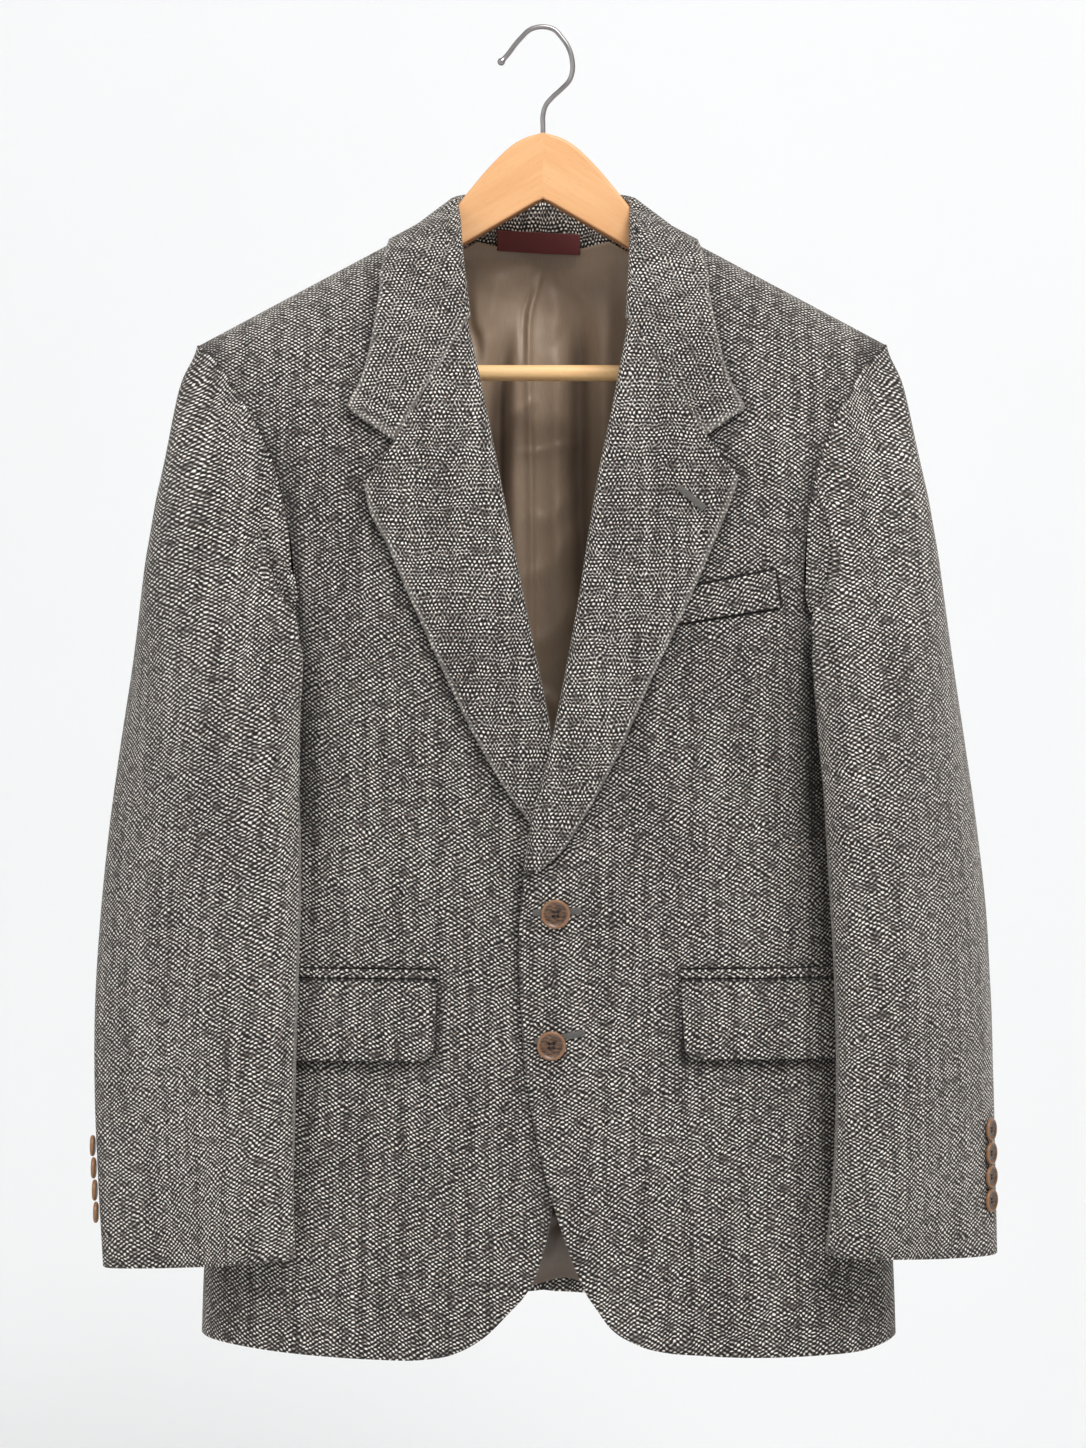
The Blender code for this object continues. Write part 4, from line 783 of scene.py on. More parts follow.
def lapel_panel(side, rows, columns):
    """Places of a lapel's points in x and height, and how far each one bellies out."""
    outline, notch = LAPEL[side], NOTCH[side]
    v = np.linspace(0, 1, rows + 1)
    u = np.linspace(0, 1, columns + 1)
    fold_z = mix(GORGE[side][1] - NOTCH_GAP, outline[-1, 0], v)
    fold_x = smooth(EDGE[side], 1, fold_z) + side * (0.2 + ROLL * roll_share(fold_z))
    rim_z = mix(outline[0, 0], outline[-1, 0] - 0.6, v ** 1.1)
    rim_x = smooth(outline, 1, rim_z)
    x = mix(fold_x[:, None], rim_x[:, None], u)
    z = mix(fold_z[:, None], rim_z[:, None], u)
    bend = columns * 2 // 3
    pull = np.clip(1 - v * 6, 0, 1)[:, None] * notch_weight(u, bend)[None, :]
    x = x + pull * (notch[0] - mix(fold_x[0], rim_x[0], u[bend]))
    z = z + pull * (notch[1] - NOTCH_GAP - mix(fold_z[0], rim_z[0], u[bend]))
    belly = LAPEL_BELLY * np.sin(math.pi * np.clip(u, 0, 1))[None, :] * (1 - v[:, None] ** 3)
    return x, z, belly


def rolled(outer, inner, radius, turn=math.radians(175), steps=8):
    """Both faces with more columns before the first, in which the sheet curls under itself."""
    out = unit(outer[:, 1] - outer[:, 0])
    wall = outer[:, 0] - inner[:, 0]
    thick = np.linalg.norm(wall, axis=-1, keepdims=True)
    normal = wall / thick
    out = unit(out - normal * np.sum(out * normal, -1, keepdims=True))
    radius = np.broadcast_to(np.asarray(radius, float).reshape(-1, 1), thick.shape)
    centre = outer[:, 0] - normal * radius
    more_outer, more_inner = [], []
    for k in range(steps, 0, -1):
        at = turn * k / steps
        spoke = normal * math.cos(at) - out * math.sin(at)
        more_outer.append(centre + spoke * radius)
        more_inner.append(centre + spoke * (radius - thick))
    return (np.concatenate([np.stack(more_outer, 1), outer], 1),
            np.concatenate([np.stack(more_inner, 1), inner], 1))


def flat_places(outer, slant=0.0):
    """Places in a piece seen flat on: x and height, turned by a slant in degrees."""
    cos, sin = math.cos(math.radians(slant)), math.sin(math.radians(slant))
    x, z = outer[..., 0], outer[..., 2]
    return np.stack([x * cos + z * sin, z * cos - x * sin], -1)


def rolled_shell(name, face, inner, radius, places, step):
    """A sheet whose first edge rolls under itself, and the outer face with its roll."""
    outer, inner = rolled(face, inner, radius)
    extra = outer.shape[1] - face.shape[1]
    lead = places[:, :1] + np.array(step) * np.arange(extra, 0, -1)[None, :, None]
    return shell(name, outer, inner, np.concatenate([lead, places], 1)), outer


lapel_face = {}
lapel_tweed = tweed("tweed of the lapels and collar", ROWS, -0.23, 1.15)
for side, name in SIDES:
    x, z, belly = lapel_panel(side, 110, 42)
    lift = ramp(np.linspace(0, 1, x.shape[1]), 0.55, 1.0) * np.linspace(1.0, 0.45, len(x))[:, None]
    stand_off = LIFT_OFF + (WELT_THICKNESS if side > 0 else 0.0) + EDGE_LIFT * lift
    under = np.stack([x, surface_y(x, z, "front", side) - stand_off - belly, z], -1)
    over = under - np.array([0, TWEED, 0])
    lapel_face[side] = over
    fade = 1 - ramp(np.linspace(0, 1, len(x)), 0.86, 1.0)
    piece, outer = rolled_shell(f"cloth_lapel_{name}", over, under, mix(*LAPEL_ROLL, fade),
                                flat_places(over), (-1.4 * side, 0.0))
    # Painted highlight along the lapel's rolled edge.
    lit_rim = ramp(np.linspace(0, 1, outer.shape[1]), 0.965, 1.0)
    mark(piece, "painted_highlight", np.broadcast_to(EDGE_HIGHLIGHT_SHARE * lit_rim, outer.shape[:2]))
    dress(piece, lapel_tweed, outer)

# -------------------- collar
# The collar's fall folds down over a stand that is sewn round the neck.  Both are cut
# from the same tweed, and the fold is a soft roll.

COLLAR = np.array([
    # fold x, fold y, fold z, outer x, outer y, outer z
    (57.0, -52, -206.5, 134.5, -60, -268),
    (59.5, -43, -183.0, 124.0, -60, -246),
    (61.5, -33, -160.0, 117.0, -54, -215),
    (63.0, -20, -135.0, 112.0, -38, -180),
    (64.5, -8, -119.0, 108.0, -16, -153),
    (63.5, 8, -114.5, 106.5, 12, -149),
    (56.5, 28, -110.5, 97.0, 44, -158),
    (43.0, 46, -108.0, 78.0, 64, -163),
    (24.0, 57, -107.0, 45.0, 70, -164),
    (0.0, 61, -106.5, 0.0, 72, -164),
])
# How far the ends lie further in: left fold, left rim, right fold, right rim.
COLLAR_SHIFT = (1.6, 2.6, 5.4, 1.4)
COLLAR_LIFT = 3.2
COLLAR_ROLL = 3.6
NECK_CENTRE = (0.0, 0.0, -230.0)
# The shoulder's ridge: height where its depth is read, and the x and y that the collar
# crosses it beyond and within.
RIDGE_LEVEL = -190
RIDGE_X = 66
RIDGE_Y = 42
STAND = np.array([
    # foot x, foot y, foot z, top x, top y, top z
    (71.5, -5, -128.0, 65.5, -5, -124.5),
    (71.0, 5, -128.2, 64.0, 5, -121.0),
    (66.0, 20, -133.0, 57.0, 20, -117.6),
    (52.0, 36, -140.5, 44.5, 37, -114.6),
    (28.0, 47, -145.5, 25.0, 49, -113.2),
    (0.0, 50, -147.0, 0.0, 54, -112.6),
])


def collar_rows(table, stations, shift):
    """The half table mirrored into a whole run from the right front to the left front."""
    keys = np.arange(len(table))
    rows = np.column_stack([keys, table])
    t = np.linspace(0, len(table) - 1, stations + 1)
    half = np.stack([smooth(rows, c, t) for c in range(1, 7)], -1)
    right = half * np.array([-1, 1, 1, -1, 1, 1])
    fade = np.clip(1 - t / 5, 0, 1)
    half[:, 0] += shift[0] * fade
    half[:, 3] += shift[1] * fade
    right[:, 0] += shift[2] * fade
    right[:, 3] += shift[3] * fade
    return np.concatenate([right, half[-2::-1]])


def collar_points(stations, columns):
    """The fall's outer face, its front ends turned to meet the lapels at the gorge."""
    run = collar_rows(COLLAR, stations, COLLAR_SHIFT)
    u = np.linspace(0, 1, columns + 1)
    points = mix(run[:, None, :3], run[:, None, 3:], u[None, :, None])
    bend = columns * 2 // 3
    weight = notch_weight(u, bend)
    each = stations / 18
    for index, step, notch in ((0, 1, NOTCH[-1]), (-1, -1, NOTCH[1])):
        target = np.array([notch[0], notch[1] + NOTCH_GAP])
        change = target - points[index, bend, [0, 2]]
        for k in range(int(3 * each)):
            share = float(np.interp(k / each, (0, 1, 2, 3), (1.0, 0.45, 0.12, 0.0)))
            points[index + k * step, :, 0] += weight * share * change[0]
            points[index + k * step, :, 2] += weight * share * change[1]
    return points


def ridge_height(x, y, out):
    """Height of the shoulder's top over x and y, from the arch between front and back."""
    depth = np.where(y < 0, smooth(TRUNK, 3, RIDGE_LEVEL), smooth(TRUNK, 4, RIDGE_LEVEL)) + out
    fall = np.sqrt(np.clip(1 - (y / depth) ** 2, 0, 1))
    return shoulder_height(x) + out - ARCH_HEIGHT * (1 - fall)


def keep_off_trunk(points, out):
    """Points pushed clear of the trunk's outer face, upwards, forwards or backwards."""
    x, y, z = np.moveaxis(points, -1, 0)
    on_ridge = (np.abs(y) < RIDGE_Y) & (np.abs(x) > RIDGE_X)
    z = np.where(on_ridge, np.maximum(z, ridge_height(x, y, out)), z)
    front = np.where(x > 0, surface_y(x, z, "front", 1, out), surface_y(x, z, "front", -1, out))
    back = surface_y(x, z, "back", 1, out)
    below = z < shoulder_height(x) + out
    y = np.where(below & (y <= 0), np.minimum(y, front), y)
    y = np.where(below & (y > 0), np.maximum(y, back), y)
    return np.stack([x, y, z], -1)


def inward(grid, normal, thickness, towards):
    """The inner face: the grid moved by the wall's thickness, away from `towards`."""
    sign = np.sign(np.sum(normal * towards, -1, keepdims=True))
    sign[sign == 0] = 1
    return grid - normal * sign * thickness


def unrolled(points):
    """The flat cut of a curved strip: each cross line laid out beside the one before it."""
    top, rim = points[:, 0], points[:, -1]
    length = np.linalg.norm(rim - top, axis=-1)
    flat_top, flat_rim = [np.zeros(2)], [np.array([0.0, -length[0]])]
    for k in range(1, len(points)):
        base = flat_rim[-1] - flat_top[-1]
        span = np.linalg.norm(base)
        side_way = np.array([-base[1], base[0]]) / span
        for target, keep in ((top[k], flat_top), (rim[k], flat_rim)):
            near = np.linalg.norm(target - top[k - 1])
            far = np.linalg.norm(target - rim[k - 1])
            along = (near ** 2 - far ** 2 + span ** 2) / (2 * span)
            reach = math.sqrt(max(near ** 2 - along ** 2, 0.0))
            keep.append(flat_top[k - 1] + base / span * along + side_way * reach)
    flat_top, flat_rim = np.array(flat_top), np.array(flat_rim)
    centre = len(points) // 2
    way = flat_rim[centre] - flat_top[centre]
    turn = -math.pi / 2 - math.atan2(way[1], way[0])
    spin = np.array([[math.cos(turn), math.sin(turn)], [-math.sin(turn), math.cos(turn)]])
    line = (rim - top) / length[:, None]
    ahead = np.gradient((top + rim) / 2, axis=0)
    ahead = unit(ahead - line * np.sum(ahead * line, -1, keepdims=True))
    off = points - top[:, None]
    along = np.sum(off * line[:, None], -1)[..., None]
    aside = np.sum(off * ahead[:, None], -1)[..., None]
    flat_line = unit(flat_rim - flat_top)
    flat_side = np.stack([-flat_line[:, 1], flat_line[:, 0]], -1)
    return (flat_top[:, None] + flat_line[:, None] * along + flat_side[:, None] * aside) @ spin


points = keep_off_trunk(collar_points(126, 30), LIFT_OFF + TWEED + 0.6)
lift = ramp(np.linspace(0, 1, points.shape[1]), 0.55, 1.0)[None, :] * ramp(-points[..., 1], 8.0, 46.0)
points[..., 1] -= COLLAR_LIFT * lift
away = points - np.array(NECK_CENTRE)
away[..., 2] = np.abs(away[..., 2]) * 0.4
inner = inward(points, grid_normals(points), TWEED, away)
piece, outer = rolled_shell("cloth_collar_fall", points, inner, COLLAR_ROLL, unrolled(points), (0.0, 1.3))
# Painted highlight along the fall's rolled edge and its ends.
edge = np.maximum(ramp(np.linspace(0, 1, outer.shape[1]), 0.955, 1.0)[None, :],
                  ramp(np.abs(np.linspace(-1, 1, outer.shape[0])), 0.985, 1.0)[:, None])
mark(piece, "painted_highlight", EDGE_HIGHLIGHT_SHARE * edge)
dress(piece, lapel_tweed, outer)

run = collar_rows(STAND, 60, (0, 0, 0, 0))
u = np.linspace(0, 1, 13)
face = mix(run[:, None, :3], run[:, None, 3:], u[None, :, None])
outside = face * np.array([1, 1, 0])
inner = inward(face, grid_normals(face), TWEED, outside)
places = np.stack(np.broadcast_arrays(run_length(face[:, 0])[:, None], u[None, :] * 30.0), -1)
piece = shell("cloth_collar_stand", face, inner, places)
dress(piece, lapel_tweed, face)

# -------------------- sleeves
# Two-piece sleeves: a wide top sleeve and a narrow under one, set into the armhole with
# a little fullness at the head, and hanging a little forward with a soft elbow.

SLEEVE = {1: np.array([
    # height, outer x, inner x, half long, half short, centre y
    (-219, 246, 168, 64, 38, -2),
    (-257, 255, 172, 72, 42, -4),
    (-313, 266, 176, 78, 45, -7),
    (-397, 280, 178, 80, 46, -22),
    (-453, 288, 181, 80, 44, -34),
    (-537, 301, 188, 80, 38, -40),
    (-621, 310.5, 195, 79, 35, -42),
    (-705, 314, 198, 77, 33, -44),
    (-789, 315, 196, 73, 29, -48),
    (-852, 315, 190, 69, 24, -50),
]), -1: np.array([
    # height, outer x, inner x, half long, half short, centre y
    (-219, 248, 168, 64, 38, -2),
    (-257, 257, 166, 72, 42, -4),
    (-313, 267, 165, 78, 45, -7),
    (-397, 281, 165, 80, 46, -20),
    (-453, 289, 163.5, 81, 41, -32),
    (-537, 301, 162.5, 82, 35, -38),
    (-621, 309, 165, 81, 33, -40),
    (-705, 312, 167.5, 79, 29, -46),
    (-789, 308, 168, 74, 24, -53),
    (-858, 303, 166, 70.5, 20, -56),
])}
CUFF = {1: (-840.0, -850.0), -1: (-841.0, -857.0)}
ROOT_LENGTH = (16.0, 110.0)
# The sleeve head bulges down to this height, then turns into a hanging tube.
CAP_BOTTOM = -392.0
HANG_HEIGHTS = (CAP_BOTTOM + 25, CAP_BOTTOM - 70)
CAP_FRONT = math.radians(158)
CAP_BACK = math.radians(110)
CAP_FULLNESS = (6.0, 16.0)
CAP_FULL_Z = (-260.0, -390.0)
ROOT_GAP = 1.3
ROOT_CLEARANCE = ROOT_GAP + 0.8
SLEEVE_RADIUS = 60.0
# How closely the rows lie at the top of the armhole.
ROW_BUNCH = 0.72
ROOT_TURN = (1.04, 1.17)
ROOT_BLEND = (0.0, 0.07)
FINE_STEPS = 12
SETTLING = 20
WALL_EVENING = 3
SETTLED_ROWS = 6
# Start, end and steps of each run of rows, from the armhole to the cuff.
SLEEVE_ROWS = [(0.0, 0.045, 3), (0.045, 0.25, 5), (0.25, 1.0, 8)]
TWIST = math.radians(64)
FRONT_SEAM_CUFF = math.radians(120)
BACK_SEAM_CUFF = {1: math.radians(379), -1: math.radians(345)}
TRUNK_CLEARANCE = 6.5
UNDER_SPAN = (math.radians(132), math.radians(146))
CLEAR_BELOW = (-392.0, -412.0)
ARMHOLE_ROWS = [(0.0, 0.3, 2), (0.3, 1.0, 4), (1.0, ROW_TURN, 2)]
TURN_STEPS = 5
FRONT_SEAM_ROW = 6
BACK_SEAM_ROW = 3
SLEEVE_FOLDS = np.array([
    # along, around in degrees, half length, half spread, depth
    (0.33, 150, 0.035, 50, 3.0),
    (0.45, 120, 0.030, 45, 2.6),
    (0.56, 170, 0.030, 40, 2.2),
    (0.24, 60, 0.050, 40, 1.8),
])


def armhole_rows():
    """Panel rows down the armhole, closing up where its edge turns under."""
    turn = np.sin(np.linspace(0, math.pi / 2, TURN_STEPS + 1))[1:]
    return np.concatenate([spaced_rows(ARMHOLE_ROWS), mix(ROW_TURN, ROW_UNDERARM, turn)])


def armhole_row(around):
    """Panel row by angle around the armhole: 0 top, 90 front, 180 underarm, 270 back."""
    return np.maximum(ROW_UNDERARM * ((1 - np.cos(around)) / 2) ** ROW_BUNCH, FIRST_ROW)


def around_at(row):
    """Angle around the armhole by panel row, the other way round from armhole_row."""
    return np.arccos(1 - 2 * (row / ROW_UNDERARM) ** (1 / ROW_BUNCH))


def armhole_ring(around, side, out=0.0):
    """The armhole's edge by angle around it."""
    row = armhole_row(around)
    front = trunk_point(side, outer_angle(row, side, "front"), row, "front", out)
    back = trunk_point(side, outer_angle(row, side, "back"), row, "back", out)
    return np.where((np.sin(around) < 0)[..., None], back, front)


def hanging_section(around, z, side):
    """A flattened ring, its long axis turned so that it has the widths of the table."""
    rows = SLEEVE[side]
    outer, inner = smooth(rows, 1, z), smooth(rows, 2, z)
    long_half, short_half = smooth(rows, 3, z), smooth(rows, 4, z)
    half = (outer - inner) / 2
    share = (half ** 2 - short_half ** 2) / (long_half ** 2 - short_half ** 2)
    turn = np.arccos(np.sqrt(np.clip(share, 0, 1)))
    start = np.arctan2(short_half * np.sin(turn), long_half * np.cos(turn))
    p = long_half * np.cos(around + start)
    q = short_half * np.sin(around + start)
    x = (outer + inner) / 2 + p * np.cos(turn) + q * np.sin(turn)
    y = smooth(rows, 5, z) + p * np.sin(turn) - q * np.cos(turn)
    return np.stack([side * x, y, z], -1)


def cap_section(around, z, side):
    """A half round bulge between the front and back edges of the armhole."""
    level = np.maximum(z, CAP_BOTTOM)
    ends = []
    for column, part in ((1, "front"), (2, "back")):
        x = smooth(TRUNK, 2, level) + side * smooth(ARMHOLE, column, level)
        ends.append((side * x, surface_y(x, level, part, side)))
    (front_x, front_y), (back_x, back_y) = ends
    turned = (around + math.pi) % (2 * math.pi) - math.pi
    reach = np.where(turned > 0, CAP_FRONT, CAP_BACK)
    gamma = np.clip(turned / reach, -1, 1) * math.pi / 2
    share = (1 + np.sin(gamma)) / 2
    edge_x = mix(back_x, front_x, share) + ROOT_GAP
    x = edge_x + (smooth(SLEEVE[side], 1, z) - edge_x) * np.cos(gamma)
    full = mix(*CAP_FULLNESS, sunk(z, CAP_FULL_Z))
    y = mix(back_y, front_y, share) - full * np.sign(gamma) * np.abs(np.sin(2 * gamma)) ** 0.6
    return np.stack([side * x, y, z], -1)


def sleeve_section(around, z, side):
    """The bulge of the sleeve head, turning into the flattened ring below the armhole."""
    around, z = np.broadcast_arrays(around, z)
    hang = sunk(z, HANG_HEIGHTS)[..., None]
    turned = around + TWIST * np.sin(around / 2) ** 2
    return mix(cap_section(around, z, side), hanging_section(turned, z, side), hang)


def clear_of_trunk(points, margin):
    """Points that would meet the trunk, moved out to a clearance around its ring."""
    x, y, z = np.moveaxis(points, -1, 0)
    centre, half = smooth(TRUNK, 2, z), smooth(TRUNK, 1, z)
    depth = np.where(y < 0, smooth(TRUNK, 3, z), smooth(TRUNK, 4, z))
    level = (np.abs((x - centre) / (half + margin)) ** RING_POWER
             + np.abs(y / (depth + margin)) ** RING_POWER)
    scale = np.where(level < 1, np.maximum(level, 1e-6) ** (-1 / RING_POWER), 1.0)
    return np.stack([centre + (x - centre) * scale, y * scale, z], -1)


def sleeve_fold_depth(along, around):
    """Depth of the soft folds that cross the arm in front of and behind the elbow."""
    total = np.zeros(np.broadcast(along, around).shape)
    for at, angle, length, spread, depth in SLEEVE_FOLDS:
        turn = np.cos(around - math.radians(angle)) - 1
        wide = turn / (1 - math.cos(math.radians(spread)))
        total = total + depth * np.exp(-((along - at) / length) ** 2 + wide)
    return total


def free_and_cleared(side, around, along):
    """Points of a sleeve's outer face before and after they are moved clear of the trunk."""
    around, along = np.broadcast_arrays(np.asarray(around, float), np.asarray(along, float))
    root = armhole_ring(around, side)
    toward_outer = (1 + np.cos(around)) / 2
    z = mix(root[..., 2], mix(*CUFF[side], toward_outer), along)
    floor = float(trunk_point(side, SIDE_SEAM, ROW_UNDERARM, "front")[2])
    section = sleeve_section(around, z, side)
    reach = mix(*ROOT_LENGTH, np.sin(around / 2) ** 2)
    share = ramp((root[..., 2] - z) / reach, 0.0, 1.0)[..., None]
    points = mix(root, section, share)
    points[..., 2] = z
    fold = sleeve_fold_depth(along, around) * ramp(along, 0.0, 0.25)
    rows = SLEEVE[side]
    hub = np.stack([side * (smooth(rows, 1, z) + smooth(rows, 2, z)) / 2, smooth(rows, 5, z), z], -1)
    ray = points - hub
    ray[..., 2] = 0
    points = points + unit(ray) * (-fold)[..., None] * share
    turned = np.minimum(around % (2 * math.pi), (-around) % (2 * math.pi))
    under = ramp(turned, *UNDER_SPAN)
    fallen = np.where(z < floor, 1.0, under) * ramp(root[..., 2] - z, 0, 16)
    cleared = clear_of_trunk(points, TRUNK_CLEARANCE * fallen + ROOT_CLEARANCE)
    moved = np.maximum(under, sunk(z, CLEAR_BELOW))[..., None]
    return points, mix(points, cleared, moved)


def sleeve_point(side, around, along):
    """A point of a sleeve's outer face; along is 0 at the armhole and 1 at the cuff."""
    return free_and_cleared(side, around, along)[1]


def once_around(side, free, cleared):
    """A row of the under panel, which runs along the trunk once from front to back."""
    moved = np.nonzero(np.linalg.norm(cleared - free, axis=-1) > 0.05)[0]
    if len(moved) < 3:
        return cleared
    part = slice(moved[0], moved[-1] + 1)
    x, y, z = cleared[part].T
    centre = smooth(TRUNK, 2, z)
    turn = np.arctan2(y, side * (x - centre))
    reach = np.hypot(x - centre, y)
    order = np.argsort(turn)
    even = np.linspace(turn[0], turn[-1], len(turn))
    even_reach = np.interp(even, turn[order], reach[order])
    line = cleared.copy()
    line[part] = np.stack([centre + side * even_reach * np.cos(even), even_reach * np.sin(even), z], -1)
    return line


def under_face(side, around, along):
    """The under panel's outer face, its columns spaced by length along each row."""
    columns = around.shape[1]
    steps = np.linspace(0, columns - 1, (columns - 1) * FINE_STEPS + 1)
    rows = []
    for turns, at in zip(around, along[:, 0]):
        fine = np.interp(steps, np.arange(columns), turns)
        rows.append(once_around(side, *free_and_cleared(side, fine, np.full(len(fine), at)))
                    if at > 0 else armhole_ring(fine, side))
    even = np.linspace(0, 1, columns)
    outer = np.empty(around.shape + (3,))
    for r, line in enumerate(rows):
        length = run_length(line)
        length /= length[-1]
        if r == 0:
            root = length[::FINE_STEPS]
        level = mix(root, even, ramp(along[r, 0], 0.0, 0.3))
        outer[r] = np.stack([np.interp(level, length, line[:, axis]) for axis in range(3)], -1)
    return settled(outer)


def settled(outer):
    """The under panel drawn smooth below the armhole, between its root and its seams."""
    keep = ramp(np.arange(len(outer)), SETTLED_ROWS, SETTLED_ROWS + 4)[1:-1, None, None]
    for _ in range(SETTLING):
        middle = (outer[:-2, 1:-1] + outer[2:, 1:-1] + outer[1:-1, :-2] + outer[1:-1, 2:]) / 4
        outer[1:-1, 1:-1] = mix(middle, outer[1:-1, 1:-1], keep)
        inside = outer[1:-1, 1:-1]
        below = ramp(outer[0, 1:-1, 2] - inside[..., 2], 0, 16)
        outer[1:-1, 1:-1] = clear_of_trunk(inside, ROOT_CLEARANCE + TRUNK_CLEARANCE * below)
    return outer


def sleeve_grid(side, part):
    """Angles around a sleeve panel: at the armhole they meet the rows of the trunk panels."""
    along = spaced_rows(SLEEVE_ROWS)
    turns = around_at(armhole_rows())
    gap = SEAM_GAP / 2 / SLEEVE_RADIUS
    if part == "top":
        root = np.concatenate([-turns[BACK_SEAM_ROW:0:-1], turns[:FRONT_SEAM_ROW + 1]])
        ends = (BACK_SEAM_CUFF[side] - 2 * math.pi, FRONT_SEAM_CUFF)
    else:
        root = np.concatenate([turns[FRONT_SEAM_ROW:], 2 * math.pi - turns[-2:BACK_SEAM_ROW - 1:-1]])
        ends = (FRONT_SEAM_CUFF, BACK_SEAM_CUFF[side])
    root[0] += gap
    root[-1] -= gap
    even = np.linspace(ends[0] + gap, ends[1] - gap, len(root))
    level = (root - root[0]) / (root[-1] - root[0])
    share = ramp(along, 0.0, 1.0)[:, None]
    seams = mix(root[0], even[0], share), mix(root[-1], even[-1], share)
    spread = mix(level, np.linspace(0, 1, len(root)), ramp(along, 0.0, 0.3)[:, None])
    around = mix(seams[0], seams[1], spread)
    return around, np.broadcast_to(along[:, None], around.shape)


def sleeve_wall(side, around, along):
    """Outer and inner faces of a sleeve panel; its root stands clear of the armhole's edge."""
    step = 2e-3
    under = around[0, 0] > 0
    outer = (under_face if under else sleeve_point)(side, around, along)
    du = sleeve_point(side, around + step, along) - sleeve_point(side, around - step, along)
    dv = sleeve_point(side, around, along + step) - sleeve_point(side, around, np.maximum(along - step, 0))
    normal = unit(np.cross(du, dv))
    if under:
        normal[:, 1:-1] = grid_normals(outer)[:, 1:-1]
    shift = np.array([side * ROOT_GAP, 0, 0])
    ring = armhole_ring(around[0], side)
    edge = armhole_ring(around[0] + step, side) - armhole_ring(around[0] - step, side)
    facing = unit(ring - armhole_ring(around[0], side, -TWEED))
    opening = unit(side * np.cross(facing, edge))
    turned = (math.pi * ramp(armhole_row(around[0]), *ROOT_TURN))[:, None]
    outer[0] = ring + shift
    at_root = opening * np.sin(turned) - facing * np.cos(turned)
    wall = unit(mix(at_root[None], -side * normal, ramp(along, *ROOT_BLEND)[..., None]))
    for _ in range(WALL_EVENING if under else 0):
        wall[1:-1, 1:-1] += wall[:-2, 1:-1] + wall[2:, 1:-1] + wall[1:-1, :-2] + wall[1:-1, 2:]
        wall[1:-1] = unit(wall[1:-1])
    return outer, outer + TWEED * wall


def finer(grid, times):
    """The grid with more points between its own, along a smooth curve through them."""
    for axis in (0, 1):
        grid = np.swapaxes(grid, 0, axis)
        count = len(grid)
        at = np.linspace(0, count - 1, (count - 1) * times + 1)
        i = np.clip(at.astype(int), 0, count - 2)
        t = (at - i).reshape((-1,) + (1,) * (grid.ndim - 1))
        before = grid[np.maximum(i - 1, 0)]
        after = grid[np.minimum(i + 2, count - 1)]
        p, q = grid[i], grid[i + 1]
        bend = 2 * before - 5 * p + 4 * q - after + t * (3 * (p - q) + after - before)
        grid = p + 0.5 * t * (q - before + t * bend)
        grid = np.swapaxes(grid, 0, axis)
    return grid


OVERHANG = np.array([
    # height, how far the left and the right sleeve's front hangs over the lower armhole
    (-300, 0, 0), (-335, 0, 0), (-360, 3, 3), (-380, 7, 10), (-395, 13, 19), (-408, 17, 24),
    (-418, 14, 19), (-430, 5, 11), (-445, 1, 6), (-470, 0, 2), (-500, 0, 0), (-540, 0, 0),
])
# Where it hangs over: mm from the seam, depth before the sleeve's middle, share of its width.
HANG_FROM_SEAM = (1.0, 11.0)
HANG_BEFORE = (-14.0, 22.0)
HANG_ACROSS = (0.25, 0.85)
HANG_FORWARD = 0.35
HANG_CLEARANCE = 2.2
HEAD_ROUNDS = 60
HEAD_EASED = (-330.0, -285.0)
# The sleeve's cut is measured round a ring of this depth, below this height, in this many
# parts.  Where it hangs over, it lies as it is seen from the front.
RING_DEPTH = 46.0
MEASURED_BELOW = -470.0
RING_PARTS = 60
FLAT_HEIGHTS = (-500.0, -440.0)
UPRIGHT_HEIGHTS = (-520.0, -440.0)


def hung_over(outer, inner, side):
    """Both faces with the sleeve's front drawn over the armhole seam, as its weight hangs."""
    rows = SLEEVE[side]
    ring = armhole_ring(np.linspace(-math.pi, math.pi, 200), side) + np.array([side * ROOT_GAP, 0, 0])
    reach = np.full(outer.shape[:2], 1e9)
    for point in ring:
        reach = np.minimum(reach, np.linalg.norm(outer - point, axis=-1))
    z = outer[..., 2]
    wide, near = smooth(rows, 1, z), smooth(rows, 2, z)
    free = ramp(reach, *HANG_FROM_SEAM) * (1 - ramp(outer[..., 1] - smooth(rows, 5, z), *HANG_BEFORE))
    across = 1 - ramp(side * outer[..., 0], mix(near, wide, HANG_ACROSS[0]), mix(near, wide, HANG_ACROSS[1]))
    amount = np.interp(-z, -OVERHANG[:, 0], OVERHANG[:, 1 if side > 0 else 2]) * free * across
    shift = np.stack([-side * amount, -HANG_FORWARD * amount, 0 * amount], -1)
    moved = outer + shift
    limit = surface_y(moved[..., 0], z, "front", side) - TWEED - HANG_CLEARANCE
    shift[..., 1] += np.minimum(limit - moved[..., 1], 0.0) * free * ramp(amount, 0.5, 4.0)
    return outer + shift, inner + shift


def eased_head(outer, inner):
    """Both faces with the sleeve head rounded over where it turns down."""
    for _ in range(HEAD_ROUNDS):
        for face in (outer, inner):
            weight = 0.5 * ramp(face[1:-1, 1:-1, 2:], *HEAD_EASED)
            even = (face[:-2, 1:-1] + face[2:, 1:-1] + face[1:-1, :-2] + face[1:-1, 2:]) / 4
            face[1:-1, 1:-1] = mix(face[1:-1, 1:-1], even, weight)
    return outer, inner


